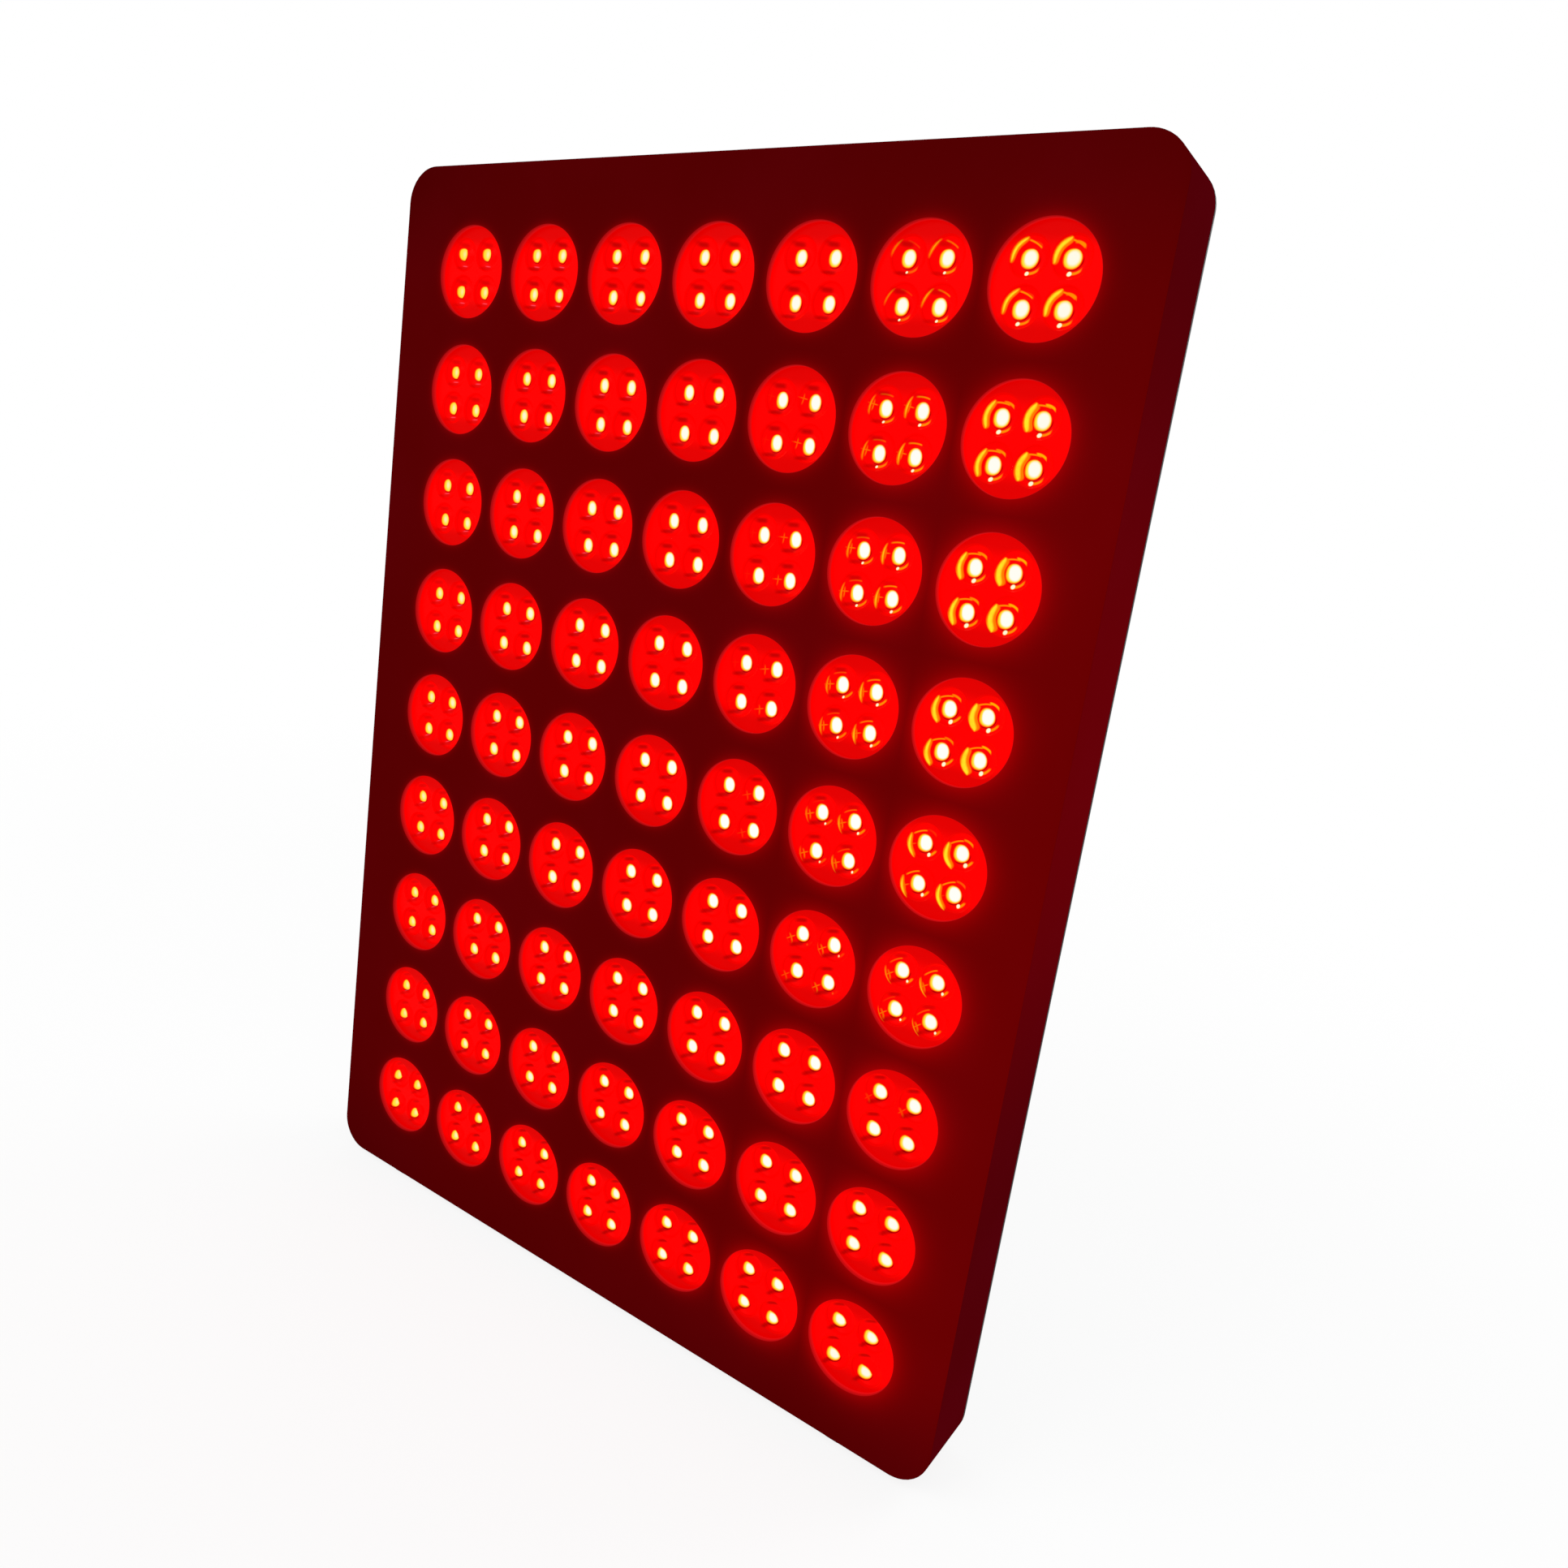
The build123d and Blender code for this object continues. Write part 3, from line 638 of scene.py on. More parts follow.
def pad_finish():
    """Grey-blue silicone with the weave of its glass cloth."""
    finish = Finish("silicone_pad", Specular_IOR_Level=0.3)
    x, y, z = finish.place()
    thread = 1.2 * mm
    weave = abs((x / thread).fract() - 0.5) + abs((z / thread).fract() - 0.5)
    finish.feed(Base_Color=finish.mix(weave, (0.3, 0.35, 0.4), (0.42, 0.47, 0.52)))
    finish.feed(Roughness=0.6 + 0.2 * weave)
    finish.bump(weave, 0.04 * mm)
    return finish


nylon = mottled("nylon_white", (0.72, 0.7, 0.63), (0.8, 0.78, 0.72), 6 * mm, (0.35, 0.5), 0.02 * mm)
dress(emitter_finish(), *[f"led_emitters_{row}" for row in range(1, row_count + 1)])
dress(board_finish(), *[f"led_board_{row}" for row in range(1, row_count + 1)])
dress(pad_finish(), "thermal_pads")
dress(nylon, "board_connectors", "terminal_block")


# Heat sink: an extruded aluminium plate with upright fins on its back. It rests on the
# rails of the side frame, and the boards pass their heat to it through the pads.
def drawn_metal(name, dark, light, direction, roughness):
    """Aluminium with the fine parallel lines of its die or its brushing."""
    finish = Finish(name, Metallic=1.0)
    lines = finish.noise(900.0, 3.0, direction)
    cloud = finish.noise(25.0, 2.0)
    finish.feed(Base_Color=finish.mix(cloud * 0.5 + lines * 0.5, dark, light))
    finish.feed(Roughness=roughness[0] + (roughness[1] - roughness[0]) * lines)
    finish.bump(lines, 0.02 * mm)
    return finish


along_fins = (1.0, 1.0, 0.02)
extruded = drawn_metal(
    "aluminium_extruded", (0.6, 0.61, 0.62), (0.76, 0.76, 0.77), along_fins, (0.3, 0.5)
)
dress(extruded, "heat_sink")


# Side frame: a 2.5 mm aluminium ring, bent to the outline of the front panel and powder
# coated like it. It carries a rail down each side for the heat sink, six bosses for
# the cover screws and, in its top, the pockets of the hanging inserts.
frame_low, frame_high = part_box("side_frame")
wall = 2.5 * mm
seam_round = 0.5 * mm
sink_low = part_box("heat_sink")[0]
board_gap = 1.5 * mm
board_low, board_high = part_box("led_board_1")
boss_width = 9.0 * mm
boss_height = 14.0 * mm
boss_depth = 16.0 * mm
rib_corner = 1.0 * mm
bury = 0.5 * mm
screw_head_radius = 3.2 * mm
screws_low, screws_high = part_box("cover_screws")
screw_columns = [screws_low.x + screw_head_radius, screws_high.x - screw_head_radius]
screw_rows = [
    screws_low.z + screw_head_radius,
    (screws_low.z + screws_high.z) / 2,
    screws_high.z - screw_head_radius,
]
screw_places = [(x, z) for x in screw_columns for z in screw_rows]
insert_across = 9.0 * mm
pocket_corner = 0.2 * mm
inserts_low, inserts_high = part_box("hanging_inserts")
insert_reach = insert_across / math.sqrt(3)
insert_y = (inserts_low.y + inserts_high.y) / 2
insert_columns = [inserts_low.x + insert_reach, inserts_high.x - insert_reach]


def flat_lying(outline, z):
    """An outline seen from above, set at its height."""
    return [(x, y, z) for x, y in outline]


def hexagon(x, y, across, corner):
    """The outline of a hexagon that is across wide between its flats."""
    reach = across / math.sqrt(3)
    turns = [math.radians(60 * k) for k in range(6)]
    corners = [(x + reach * math.cos(turn), y + reach * math.sin(turn)) for turn in turns]
    return soft_outline(corners, corner)


def side_coat_and_painted_glow():
    """The front's coat, near black with a red tint of painted light, and painted dark red light
    from the lenses on the outside, strongest on the right.
    """
    finish = powder_coat("case_black_side_painted_glow", 0.0, (0.006, 0.0004, 0.0012), (0.01, 0.0006, 0.002))
    x, y, z = finish.place()
    half_width = (panel_high.x - panel_low.x) / 2
    half_height = (panel_high.z - panel_low.z) / 2
    wide = (abs(x) - (half_width - corner_round)).over(0.0)
    tall = (abs(z - grid_middle) - (half_height - corner_round)).over(0.0)
    reach = (wide * wide + tall * tall) ** 0.5
    outside = reach.rise(corner_round - 0.6 * wall, corner_round - 0.3 * wall)
    outside = outside * (0.25 + 0.75 * x.rise(0.02, 0.2))
    brightest = 0.385
    red = 0.074 + 0.05 * abs(z - brightest).fade(0.02, 0.24)
    finish.glow(red * outside, 0.0, 0.0012 * outside)
    return finish


def cut_pockets(piece, cutter):
    """Cuts a solid out of a piece and throws the cutter away."""
    tool = piece.modifiers.new("pockets", "BOOLEAN")
    tool.operation = "DIFFERENCE"
    tool.solver = "EXACT"
    tool.object = cutter
    bpy.context.view_layer.update()
    shaped = piece.evaluated_get(bpy.context.evaluated_depsgraph_get())
    mesh = bpy.data.meshes.new_from_object(shaped)
    piece.modifiers.clear()
    piece.data = mesh
    bpy.data.objects.remove(cutter)


def make_case_ring():
    """The ring, with the pockets of the hanging inserts cut into its top."""
    shape = Shape()
    front, back = frame_low.y, frame_high.y
    turn = seam_round * (1 - math.sqrt(0.5))
    loops = [
        upright(case_outline(seam_round), front),
        upright(case_outline(turn), front + turn),
        upright(case_outline(0.0), front + seam_round),
        upright(case_outline(0.0), back - seam_round),
        upright(case_outline(turn), back - turn),
        upright(case_outline(seam_round), back),
        upright(case_outline(wall), back),
        upright(case_outline(wall), front),
    ]
    shape.wrap(loops, closed=True)
    ring = shape.piece("case_ring", side_coat_and_painted_glow(), "panel", "case_black")
    pockets = Shape()
    for x in insert_columns:
        hexes = hexagon(x, insert_y, insert_across, pocket_corner)
        top = frame_high.z
        pockets.rod([flat_lying(hexes, top - 2 * wall), flat_lying(hexes, top + wall)])
    cutter = bpy.data.objects.new("pockets", pockets.mesh("pockets"))
    bpy.context.scene.collection.objects.link(cutter)
    cut_pockets(ring, cutter)
    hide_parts("side_frame")


def make_case_rails():
    """The rails for the heat sink and the bosses for the cover screws."""
    shape = Shape()
    back = frame_high.y
    left = (frame_low.x + wall - bury, board_low.x - board_gap)
    right = (board_high.x + board_gap, frame_high.x - wall + bury)
    bottom, top = row_places[-1] - row_pitch / 2, row_places[0] + row_pitch / 2
    for near, far in (left, right):
        rail = rounded_box((near, bottom), (far, top), 0.0, rib_corner)
        shape.rod([upright(rail, sink_low.y - wall), upright(rail, sink_low.y)])
    for x, z in screw_places:
        outward = bury if x > 0 else -bury
        low = (x - boss_width / 2 + min(outward, 0), z - boss_height / 2)
        high = (x + boss_width / 2 + max(outward, 0), z + boss_height / 2)
        boss = rounded_box(low, high, 0.0, rib_corner)
        shape.rod([upright(boss, back - boss_depth), upright(boss, back)])
    plain = powder_coat("case_black_inside", 0.3, (0.012, 0.012, 0.013), (0.02, 0.02, 0.021))
    shape.piece("case_rails", plain, "panel", "case_black", "side_frame")


make_case_ring()
make_case_rails()


# Hanging inserts: two turned brass hexagons, threaded M6, pressed flush into the top
# edge. Eye bolts or a hanging bar screw into them.
insert_bore = 2.5 * mm
thread_radius = 2.95 * mm
thread_pitch = 1.0 * mm
thread_turns = 11
insert_chamfer = 0.4 * mm
insert_corner = 0.3 * mm
mouth_ease = 0.3 * mm
bore_steps = 32


def make_inserts():
    """Each insert: a hexagon with a chamfered mouth and a threaded bore."""
    shape = Shape()
    low, high = inserts_low.z, inserts_high.z
    for x in insert_columns:
        full = hexagon(x, insert_y, insert_across, insert_corner)
        drawn_in = hexagon(x, insert_y, insert_across - 2 * insert_chamfer, insert_corner)
        edge = [
            flat_lying(full, low),
            flat_lying(full, high - insert_chamfer),
            flat_lying(drawn_in, high),
        ]
        profile = [(thread_radius + mouth_ease, high)]
        for k in range(thread_turns):
            z = high - (k + 0.5) * thread_pitch
            profile += [(insert_bore, z), (thread_radius, z - thread_pitch / 2)]
        profile.append((insert_bore, low))
        bore = [flat_lying(disc(x, insert_y, radius, bore_steps), z) for radius, z in profile]
        shape.plate(edge, [bore])
    brass = mottled("brass_turned", (0.62, 0.45, 0.17), (0.75, 0.58, 0.27), 3 * mm, (0.22, 0.4),
                    0.01 * mm, (1.0, 1.0, 6.0), Metallic=1.0)
    shape.piece("threaded_inserts", brass, "panel", "insert_brass", "hanging_inserts", 25.0)


make_inserts()


# Feet: two moulded rubber pads, glued under the bottom edge so that the panel stands
# without sliding. Each has cropped corners and a softened lower edge.
feet_low, feet_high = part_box("rubber_feet")
foot_width = 16.0 * mm
foot_crop = 4.0 * mm
foot_corner = 1.0 * mm
foot_ease = 0.9 * mm


def foot_outline(left, inset):
    """The outline of the foot that starts at left, drawn in by inset."""
    crop = foot_crop
    x0, x1 = left + inset, left + foot_width - inset
    y0, y1 = feet_low.y + inset, feet_high.y - inset
    corners = [(x1, y1 - crop), (x1 - crop, y1), (x0 + crop, y1), (x0, y1 - crop),
               (x0, y0 + crop), (x0 + crop, y0), (x1 - crop, y0), (x1, y0 + crop)]
    return soft_outline(corners, foot_corner)


def make_feet():
    """Each pad, rounded in where it meets the floor."""
    shape = Shape()
    for left in (feet_low.x, feet_high.x - foot_width):
        loops = [flat_lying(foot_outline(left, 0.0), feet_high.z)]
        for inset, height in rounded_over(foot_ease):
            loops.append(flat_lying(foot_outline(left, inset), feet_low.z + height))
        shape.rod(loops)
    rubber = mottled("rubber_black", (0.02, 0.02, 0.02), (0.035, 0.034, 0.033), 8 * mm,
                     (0.7, 0.9), 0.06 * mm, Specular_IOR_Level=0.25)
    shape.piece("rubber_pads", rubber, "panel", "foot_rubber", "rubber_feet")


make_feet()


# Drivers and wiring: two slim constant-current LED drivers in folded aluminium cases,
# screwed to the inside of the rear cover, and the sheathed leads that join the inlet,
# switch, terminal block, drivers, fans and boards, tied flat to the cover.
brushed = drawn_metal(
    "aluminium_satin", (0.5, 0.51, 0.53), (0.64, 0.65, 0.67), along_fins, (0.35, 0.55)
)
sheath = mottled("lead_sheath", (0.035, 0.035, 0.038), (0.055, 0.055, 0.06), 5 * mm,
                 (0.45, 0.65), 0.03 * mm, Specular_IOR_Level=0.35)
dress(brushed, "led_driver_left", "led_driver_right")
dress(sheath, "mains_leads", "fan_leads", "output_leads")


# Fans: two slim axial fans that draw air over the heat sink and blow it out through the
# rear cover. The frames are moulded black plastic with a motor plate on four struts,
# and each rotor is one moulding of a hub cup and seven swept blades on a steel shaft.
fan_places = []
for name in ("upper", "lower"):
    low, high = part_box(f"fan_frame_{name}")
    fan_places.append((name, (low.x + high.x) / 2, (low.z + high.z) / 2))
fan_low, fan_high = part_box("fan_frame_upper")
fan_half = (fan_high.x - fan_low.x) / 2
fan_corner = 5.0 * mm
fan_bore = 57.0 * mm
fan_flare = 0.7 * mm
flare_depth = 1.5 * mm
mount_reach = 52.5 * mm
mount_hole = 2.15 * mm
motor_plate_radius = 21.0 * mm
motor_plate_thickness = 2.0 * mm
motor_plate_ease = 0.5 * mm
strut_half = 2.5 * mm
strut_corner = 0.4 * mm
strut_bury = 1.0 * mm
strut_insets = (0.2 * mm, 0.1 * mm)
tube_radius = 4.5 * mm
tube_length = 11.0 * mm
tube_root = 1.0 * mm
shaft_radius = 1.5 * mm
shaft_clearance = 0.05 * mm
hub_radius = 19.0 * mm
hub_wall = 1.5 * mm
hub_ease = 0.3 * mm
hub_crown = ((0.0, 2.4), (0.3, 1.3), (1.1, 0.4), (2.3, 0.0))
shaft_stop = 0.1 * mm
rotor_gap = 0.8 * mm
hub_front = fan_low.y + motor_plate_thickness + rotor_gap
hub_back = fan_high.y - rotor_gap
blade_count = 7
blade_tip = 54.2 * mm
blade_root = 18.3 * mm
blade_camber = 29.3 * mm
blade_lean = math.radians(24.0)
blade_chords = (15.0 * mm, 25.0 * mm)
blade_sweep = 5.0 * mm
blade_half_thickness = 0.65 * mm
blade_steps = 8
round_steps = 64
duct_steps = 96
hole_steps = 20
shaft_steps = 24


def turned(shape, x, z, profile, steps=round_steps, closed=False):
    """Adds a turned shape about an axis along Y, from its (radius, depth) profile."""
    loops = [upright(disc(x, z, radius, steps), y) for radius, y in profile]
    if closed:
        shape.wrap(loops, closed=True)
    else:
        shape.rod(loops)


def make_fan_frame(name, x, z, finish):
    """Frame, struts, motor plate and bearing tube."""
    shape = Shape()
    front, back = fan_low.y, fan_high.y
    low, high = (x - fan_half, z - fan_half), (x + fan_half, z + fan_half)
    outline = rounded_box(low, high, 0.0, fan_corner)
    duct = [(fan_bore + fan_flare, back), (fan_bore, back - flare_depth),
            (fan_bore, front + flare_depth), (fan_bore + fan_flare, front)]
    holes = [[upright(disc(x, z, radius, duct_steps), y) for radius, y in duct]]
    for side in (-mount_reach, mount_reach):
        for level in (-mount_reach, mount_reach):
            hole = disc(x + side, z + level, mount_hole, hole_steps)
            holes.append([upright(hole, back), upright(hole, front)])
    shape.plate([upright(outline, front), upright(outline, back)], holes)
    plate_back = front + motor_plate_thickness
    bore = shaft_radius + shaft_clearance
    profile = [
        (bore, front), (motor_plate_radius - motor_plate_ease, front),
        (motor_plate_radius, front + motor_plate_ease), (motor_plate_radius, plate_back),
        (tube_radius + tube_root, plate_back), (tube_radius, plate_back + tube_root),
        (tube_radius, front + tube_length), (bore, front + tube_length),
    ]
    turned(shape, x, z, profile, closed=True)
    for k in range(4):
        turn = math.radians(45 + 90 * k)
        out = Vector((math.cos(turn), math.sin(turn)))
        along = Vector((-out.y, out.x))
        start, end = motor_plate_radius - strut_bury, fan_bore + strut_bury
        ends = ((start, -strut_half), (end, -strut_half), (end, strut_half), (start, strut_half))
        corners = [Vector((x, z)) + out * reach + along * aside for reach, aside in ends]
        strut = soft_outline(corners, strut_corner, 2)
        depths = (front + strut_insets[0], plate_back - strut_insets[1])
        shape.rod([upright(strut, depth) for depth in depths])
    shape.piece(f"fan_{name}_frame", finish, "panel", "black_plastic", f"fan_frame_{name}")


def blade_section(radius, share):
    """The points round one blade section at a radius, as (x, height, depth)."""
    chord = blade_chords[0] + (blade_chords[1] - blade_chords[0]) * share
    middle = (hub_front + hub_back) / 2
    centre = blade_camber * math.sin(blade_lean)
    crown = blade_camber * math.cos(blade_lean)
    over, under = [], []
    steps = 12
    for k in range(steps + 1):
        place = 2 * k / steps - 1
        height = blade_sweep * share + place * chord / 2
        rise = math.sqrt(blade_camber**2 - (height - centre) ** 2)
        lean = Vector(((height - centre) / blade_camber, rise / blade_camber))
        half = blade_half_thickness * (1 - 0.75 * place * place)
        depth = middle - (rise - crown)
        x = math.sqrt(radius**2 - height**2)
        over.append((x, height + half * lean.x, depth - half * lean.y))
        under.append((x, height - half * lean.x, depth + half * lean.y))
    return over + under[::-1]


def make_fan_rotor(name, x, z, finish):
    """Hub cup, seven blades and the shaft."""
    shape = Shape()
    inner = hub_radius - hub_wall
    cup = [
        (inner, hub_back - hub_wall), (inner, hub_front), (hub_radius - hub_ease, hub_front),
        (hub_radius, hub_front + hub_ease),
    ]
    cup += [(hub_radius - inset * mm, hub_back - drop * mm) for inset, drop in hub_crown]
    turned(shape, x, z, cup)
    shaft_ends = (fan_low.y + shaft_stop, hub_back - hub_wall / 2)
    turned(shape, x, z, [(shaft_radius, y) for y in shaft_ends], shaft_steps)
    for k in range(blade_count):
        turn = 2 * math.pi * k / blade_count
        loops = []
        for step in range(blade_steps + 1):
            share = step / blade_steps
            section = blade_section(blade_root + (blade_tip - blade_root) * share, share)
            loops.append([
                (x + px * math.cos(turn) - pz * math.sin(turn), depth,
                 z + px * math.sin(turn) + pz * math.cos(turn))
                for px, pz, depth in section
            ])
        shape.rod(loops)
    shape.piece(f"fan_{name}_rotor", finish, f"{name}_fan", "black_plastic", f"fan_rotor_{name}")


def make_fans():
    """Both fans, moulded in the same plastic."""
    moulded = mottled("fan_plastic", (0.016, 0.016, 0.018), (0.028, 0.028, 0.031), 12 * mm,
                      (0.32, 0.5), 0.02 * mm, Specular_IOR_Level=0.5)
    for name, x, z in fan_places:
        make_fan_frame(name, x, z, moulded)
        make_fan_rotor(name, x, z, moulded)


make_fans()


# Rear cover: a 2.5 mm aluminium sheet, punched with a slotted grille behind each fan,
# two rows of upright air slots and the cut-outs of the controls, then powder coated.
# Six screws hold it to the bosses of the side frame.
cover_low, cover_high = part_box("rear_cover")
cover_round = 1.0 * mm
punch_ease = 0.25 * mm
slot_rounding = 0.49
slot_steps = 6
grille_slot = 6.0 * mm
grille_pitch = 9.5 * mm
grille_radius = 53.0 * mm
grille_slots = 11
vent_count = 9
vent_width = 6.0 * mm
vent_height = 30.0 * mm
vent_pitch = 15.0 * mm
vent_margin = 43.5 * mm
screw_hole = 1.8 * mm
inlet_low, inlet_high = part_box("mains_inlet")
inlet_rim = 2.2 * mm
inlet_crop = 4.0 * mm
inlet_corner = 0.6 * mm
switch_low, switch_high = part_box("switch_body")
bezel_rim = 1.8 * mm


def inlet_outline(inset):
    """The inlet's outline: a rectangle with its two lower corners cut off."""
    left, right = inlet_low.x + inset, inlet_high.x - inset
    bottom, top = inlet_low.z + inset, inlet_high.z - inset
    corners = [(right, top), (left, top), (left, bottom + inlet_crop), (left + inlet_crop, bottom),
               (right - inlet_crop, bottom), (right, bottom + inlet_crop)]
    return soft_outline(corners, inlet_corner)


def switch_outline(inset, corner=0.8 * mm):
    """The outline of the switch's bezel, drawn in by inset."""
    low = (switch_low.x + inset, switch_low.z + inset)
    high = (switch_high.x - inset, switch_high.z - inset)
    return rounded_box(low, high, 0.0, corner)


def make_rear_cover():
    """The sheet with all that is punched in it."""
    shape = Shape()
    inner, outer = cover_low.y, cover_high.y
    edge = [upright(case_outline(0.0), inner)]
    for inset, depth in rounded_over(cover_round):
        edge.append(upright(case_outline(inset), outer - depth))
    punched = []

    def slot(x, z, width, height):
        """Punches a slot with round ends and an eased outer edge."""
        low, high = (x - width / 2, z - height / 2), (x + width / 2, z + height / 2)
        radius = slot_rounding * min(width, height)
        loops = [upright(rounded_box(low, high, -punch_ease, radius, slot_steps), outer)]
        for depth in (outer - punch_ease, inner):
            loops.append(upright(rounded_box(low, high, 0.0, radius, slot_steps), depth))
        punched.append(loops)

    for name, x, z in fan_places:
        for k in range(grille_slots):
            level = (k - (grille_slots - 1) / 2) * grille_pitch
            far_edge = abs(level) + grille_slot / 2
            slot(x, z + level, 2 * math.sqrt(grille_radius**2 - far_edge**2), grille_slot)
    for z in (cover_low.z + vent_margin, cover_high.z - vent_margin):
        for k in range(vent_count):
            slot((k - (vent_count - 1) / 2) * vent_pitch, z, vent_width, vent_height)
    for x, z in screw_places:
        hole = disc(x, z, screw_hole, hole_steps)
        punched.append([upright(hole, outer), upright(hole, inner)])
    for hole in (inlet_outline(inlet_rim), switch_outline(bezel_rim)):
        punched.append([upright(hole, outer), upright(hole, inner)])
    shape.plate(edge, punched)
    coat = powder_coat("case_black_rear", 0.35, (0.0155, 0.0155, 0.0165), (0.0185, 0.018, 0.019))
    shape.piece("punched_cover", coat, "panel", "case_black", "rear_cover")


make_rear_cover()


# Cover screws: six M3 pan-head machine screws in black oxide steel, with cross
# recesses. They run through the cover into the tapped bosses of the side frame.
screw_radius = 1.6 * mm
recess_reach = 1.55 * mm
recess_half = 0.36 * mm
recess_depth = 0.85 * mm
recess_taper = 0.72
recess_turn = 37.0
head_steps = 36


def cross_outline(x, z, angle, shrink):
    """The outline of a cross recess, turned by an angle."""
    reach, half = recess_reach * shrink, recess_half * shrink
    arm = [(half, half), (half, reach), (-half, reach)]
    points = []
    for k in range(4):
        turn = math.radians(angle + 90 * k)
        for px, pz in arm:
            points.append((x + px * math.cos(turn) - pz * math.sin(turn),
                           z + px * math.sin(turn) + pz * math.cos(turn)))
    return points


def make_cover_screws():
    """Shank, domed head and cross recess."""
    shape = Shape()
    seat, top = cover_high.y, screws_high.y
    radius = screw_head_radius
    for k, (x, z) in enumerate(screw_places):
        profile = [
            (screw_radius, screws_low.y), (screw_radius, seat), (radius, seat),
            (radius, seat + 0.35 * mm), (0.95 * radius, seat + 0.7 * mm),
            (0.83 * radius, top - 0.2 * mm), (0.66 * radius, top),
        ]
        loops = [upright(disc(x, z, r, head_steps), y) for r, y in profile]
        rings = shape.wrap(loops)
        shape.cap(rings[0])
        sides = ((1.0, top), (recess_taper, top - recess_depth))
        loops = [upright(cross_outline(x, z, k * recess_turn, share), y) for share, y in sides]
        recess = shape.wrap(loops)
        shape.fill(rings[-1], [recess[0]])
        shape.fill(recess[-1], [])
    oxide = mottled("steel_black_oxide", (0.035, 0.035, 0.04), (0.075, 0.075, 0.08), 2 * mm,
                    (0.3, 0.5), 0.01 * mm, Metallic=0.9)
    shape.piece("pan_head_screws", oxide, "panel", "screw_steel", "cover_screws", 30.0)


make_cover_screws()


# Mains inlet: a moulded black three-pin socket that snaps into the cover, with nickel
# plated flat pins held in its floor. A detachable mains lead plugs into it.
socket_depth = 20.0 * mm
shell_wall = 1.2 * mm
pin_half_width = 1.0 * mm
pin_half_height = 2.0 * mm
pins_low, pins_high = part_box("inlet_pins")
moulding = mottled("plastic_black", (0.014, 0.014, 0.015), (0.024, 0.024, 0.026), 6 * mm,
                   (0.42, 0.6), 0.03 * mm, Specular_IOR_Level=0.45)


def make_inlet_socket():
    """Flange, shell and cavity."""
    shape = Shape()
    mouth, seat, end = inlet_high.y, cover_high.y, inlet_low.y
    opening = inlet_rim + shell_wall
    profile = [
        (opening, mouth - socket_depth), (opening, mouth - 0.5 * mm), (opening - 0.4 * mm, mouth),
        (0.5 * mm, mouth), (0.15 * mm, mouth - 0.15 * mm), (0.0, mouth - 0.5 * mm),
        (0.0, seat), (inlet_rim, seat), (inlet_rim, end),
    ]
    shape.rod([upright(inlet_outline(inset), y) for inset, y in profile])
    shape.piece("inlet_socket", moulding, "panel", "black_plastic", "mains_inlet")


def make_socket_pins():
    """Three flat pins, drawn in at their ends."""
    shape = Shape()
    middle = (pins_low.x + pins_high.x) / 2
    upper, lower = pins_high.z - pin_half_height, pins_low.z + pin_half_height
    outer = pins_high.x - pin_half_width - middle
    for x, z in ((middle - outer, upper), (middle, lower), (middle + outer, upper)):
        low = (x - pin_half_width, z - pin_half_height)
        high = (x + pin_half_width, z + pin_half_height)
        profile = [
            (0.0, 0.25 * mm, pins_low.y), (0.0, 0.25 * mm, pins_high.y - 1.2 * mm),
            (0.45 * mm, 0.6 * mm, pins_high.y),
        ]
        loops = [upright(rounded_box(low, high, *rounding), y) for *rounding, y in profile]
        shape.rod(loops)
    nickel = mottled("nickel_plate", (0.6, 0.59, 0.56), (0.74, 0.73, 0.7), 4 * mm, (0.16, 0.32),
                     0.01 * mm, (4.0, 0.3, 4.0), Metallic=1.0)
    shape.piece("socket_pins", nickel, "panel", "pin_metal", "inlet_pins")


make_inlet_socket()
make_socket_pins()


# Switch: a moulded black rocker in a body that snaps into the cover. The rocker tips on
# two small trunnions, and its dished face carries a raised bar for on and ring for off.
switch_wall = 1.3 * mm
rocker_half_width = 6.0 * mm
rocker_half_length = 8.6 * mm
rocker_waist = 2.9 * mm
rocker_tip = 4.2 * mm
rocker_foot = -1.0 * mm
rocker_foot_half = 7.74 * mm
rocker_core = 1.3 * mm
rocker_ease = 0.5 * mm
rocker_draft = 0.05 * mm
rocker_ends = ((-1.0, 0.955), (-0.98, 0.985), (-0.945, 1.0), (0.945, 1.0), (0.98, 0.985),
               (1.0, 0.955))
rocker_rest_angle = math.radians(9.0)
trunnion_radius = 1.2 * mm
trunnion_reach = 7.1 * mm
trunnion_steps = 24
mark_rise = 0.12 * mm
bar_start = 3.0 * mm
bar_length = 3.2 * mm
bar_half = 0.42 * mm
ring_middle = -4.7 * mm
ring_inner = 1.2 * mm
ring_outer = 1.75 * mm
ring_steps = 36
rocker_joint = next(
    joint for joint in frame["record"]["behaviour"]["joints"] if joint["name"] == "rocker_tilt"
)
pivot = Vector(rocker_joint["pos_m"])


def rocker_point(x, out, along):
    """A point of the rocker at rest, from how far out of and along its face it lies."""
    turn = rocker_rest_angle
    return (
        pivot.x + x,
        pivot.y + out * math.cos(turn) - along * math.sin(turn),
        pivot.z + out * math.sin(turn) + along * math.cos(turn),
    )


def face_height(along):
    """How far the dished face stands out from the pivot."""
    share = along / rocker_half_length
    return rocker_waist + (rocker_tip - rocker_waist) * share * share


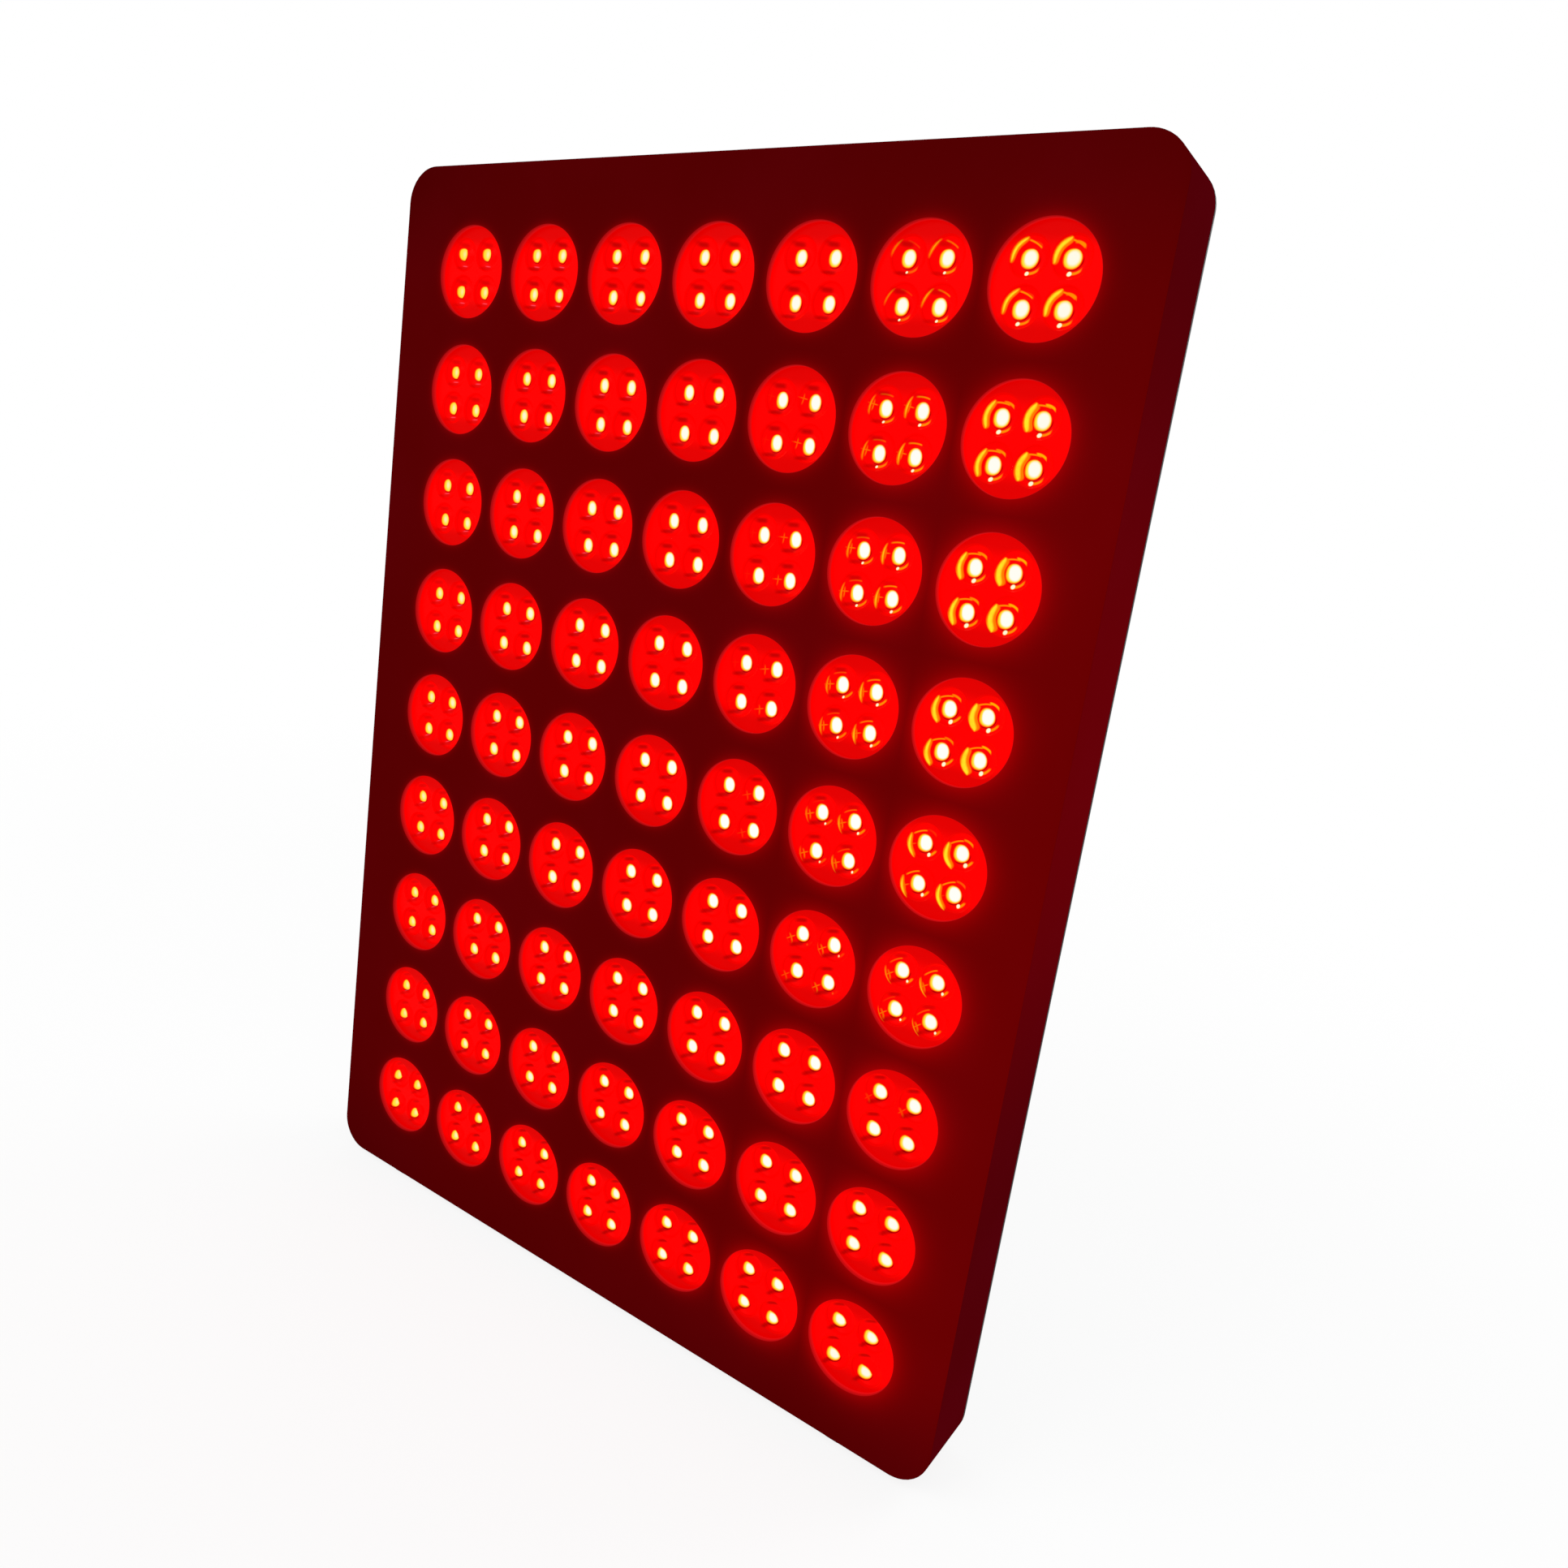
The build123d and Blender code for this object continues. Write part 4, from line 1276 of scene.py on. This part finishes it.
def make_switch_body():
    """Bezel, body and the well that the rocker sits in."""
    shape = Shape()
    top, seat, end = switch_high.y, cover_high.y, switch_low.y
    well = bezel_rim + switch_wall
    profile = [
        (well, 0.2 * mm, end + switch_wall), (well, 0.2 * mm, top - 0.3 * mm),
        (well - 0.3 * mm, 0.4 * mm, top), (0.6 * mm, 0.9 * mm, top),
        (0.18 * mm, 1.3 * mm, top - 0.18 * mm), (0.0, 1.5 * mm, top - 0.6 * mm),
        (0.0, 1.5 * mm, seat), (bezel_rim, 0.5 * mm, seat), (bezel_rim, 0.5 * mm, end),
    ]
    shape.rod([upright(switch_outline(*rounding), y) for *rounding, y in profile])
    shape.piece("switch_bezel", moulding, "panel", "black_plastic", "switch_body")


def make_rocker():
    """The rocker's cap and its trunnions."""
    shape = Shape()
    steps = 16
    dished = [rocker_half_length * (0.97 - 1.94 * k / steps) for k in range(steps + 1)]
    face = [(face_height(along), along) for along in dished]
    tip_out, tip_along = rocker_tip - rocker_ease, rocker_half_length - rocker_draft
    profile = [(rocker_foot, rocker_foot_half), (tip_out, tip_along), *face,
               (tip_out, -tip_along), (rocker_foot, -rocker_foot_half)]
    middle = Vector((rocker_core, 0.0))
    loops = []
    for x, shrink in rocker_ends:
        outline = [middle + (Vector(corner) - middle) * shrink for corner in profile]
        loops.append([rocker_point(x * rocker_half_width, out, along) for out, along in outline])
    shape.rod(loops)
    pin = disc(0.0, 0.0, trunnion_radius, trunnion_steps)
    ends = (-trunnion_reach, trunnion_reach)
    shape.rod([[rocker_point(x, out, along) for out, along in pin] for x in ends])
    cap = mottled("rocker_plastic", (0.012, 0.012, 0.013), (0.02, 0.02, 0.022), 5 * mm,
                  (0.25, 0.38), 0.015 * mm, Specular_IOR_Level=0.5)
    shape.piece("rocker_cap", cap, "rocker", "black_plastic", "switch_rocker")


def make_rocker_marks():
    """The bar and the ring, which follow the dish of the rocker's face."""
    shape = Shape()
    steps = 8
    corners = [(-1, -1), (1, -1), (1, 1), (-1, 1)]
    loops = []
    for k in range(steps + 1):
        along = bar_start + bar_length * k / steps
        loops.append([
            rocker_point(across * bar_half, face_height(along) + level * mark_rise, along)
            for across, level in corners
        ])
    shape.rod(loops)
    loops = []
    for across, level in corners:
        radius = ring_outer if across > 0 else ring_inner
        ring = disc(0.0, ring_middle, radius, ring_steps)
        loops.append([
            rocker_point(x, face_height(along) + level * mark_rise, along) for x, along in ring
        ])
    shape.wrap(loops, closed=True)
    paint = mottled("mark_white", (0.68, 0.68, 0.66), (0.78, 0.78, 0.76), 3 * mm, (0.5, 0.65),
                    0.01 * mm)
    shape.piece("rocker_marks", paint, "rocker", "connector_white", sharp_angle=20.0)


make_switch_body()
make_rocker()
make_rocker_marks()


# Studio: a pale floor under the feet and a white surround, with soft light from all
# round, one large soft lamp in front and a smaller one behind. The camera stands close,
# to the right of the panel and a little above its middle.
camera_place = Vector((0.383625, -0.507805, 0.462421))
camera_aim = Vector((0.085797, -0.0225, 0.337834))
camera_roll = 8.4719
lens_length = 26.5044
sensor_width = 36.0


def make_camera():
    """The camera looks at its aim with the roll of the photograph."""
    data = bpy.data.cameras.new("camera")
    data.lens = lens_length
    data.sensor_width = sensor_width
    data.sensor_fit = "HORIZONTAL"
    data.clip_start = 0.01
    camera = bpy.data.objects.new("camera", data)
    bpy.context.scene.collection.objects.link(camera)
    look = (camera_aim - camera_place).to_track_quat("-Z", "Y").to_matrix()
    turn = Matrix.Rotation(math.radians(camera_roll), 3, "Z")
    camera.matrix_world = Matrix.Translation(camera_place) @ (look @ turn).to_4x4()
    bpy.context.scene.camera = camera


def seen(graph):
    """1 for what the camera, a gloss or a clear piece sees, 0 for what lights the object."""
    rays = [
        graph.node("ShaderNodeLightPath", {}, {}, f"Is {kind} Ray")
        for kind in ("Camera", "Glossy", "Transmission")
    ]
    return rays[0].over(rays[1]).over(rays[2])


def make_floor():
    """A pale floor that keeps the panel's soft shadow and reads as nearly white."""
    reach = 6.0
    mesh = bpy.data.meshes.new("floor")
    corners = [(-reach, -reach, 0), (reach, -reach, 0), (reach, reach, 0), (-reach, reach, 0)]
    mesh.from_pydata(corners, [], [(0, 1, 2, 3)])
    floor = bpy.data.objects.new("floor", mesh)
    bpy.context.scene.collection.objects.link(floor)
    finish = Finish("floor_pale", Roughness=0.9, Specular_IOR_Level=0.0)
    cloud = finish.noise(3.0)
    finish.feed(Base_Color=finish.mix(cloud, (0.88, 0.88, 0.88), (0.9, 0.9, 0.9)))
    x, y, z = finish.place()
    away = (x * x + y * y) ** 0.5
    share = 0.86 + 0.14 * away.rise(0.4, 1.8)
    white = finish.node("ShaderNodeEmission", {}, {"Color": (1.0, 1.0, 1.0), "Strength": 1.0}, 0)
    plain = Wire(finish, finish.shader.outputs["BSDF"])
    blend = finish.node("ShaderNodeMixShader", {}, {0: share * seen(finish), 1: plain, 2: white}, 0)
    finish.plug(finish.tree.nodes["Material Output"].inputs["Surface"], blend)
    mesh.materials.append(finish.material)


def make_surround():
    """An even white surround."""
    world = bpy.data.worlds.new("surround")
    bpy.context.scene.world = world
    world.use_nodes = True
    graph = Graph(world.node_tree)
    shades = [
        graph.node("ShaderNodeBackground", {}, {"Color": (1.0, 1.0, 1.0), "Strength": level}, 0)
        for level in (0.7, 1.0)
    ]
    blend = graph.node("ShaderNodeMixShader", {}, {0: seen(graph), 1: shades[0], 2: shades[1]}, 0)
    graph.plug(world.node_tree.nodes["World Output"].inputs["Surface"], blend)


def make_lamp(name, place, size, watts):
    """A large soft lamp, aimed at the middle of the panel."""
    data = bpy.data.lights.new(name, "AREA")
    data.size = size
    data.energy = watts
    lamp = bpy.data.objects.new(name, data)
    lamp.location = place
    aim = Vector((0, 0, 0.3)) - lamp.location
    lamp.rotation_euler = aim.to_track_quat("-Z", "Y").to_euler()
    bpy.context.scene.collection.objects.link(lamp)


make_camera()
make_floor()
make_surround()
make_lamp("front_lamp", (-0.9, -1.6, 1.8), 1.6, 22.0)
make_lamp("back_lamp", (1.1, 1.7, 1.5), 1.2, 16.0)
bpy.context.scene.view_settings.view_transform = "Standard"
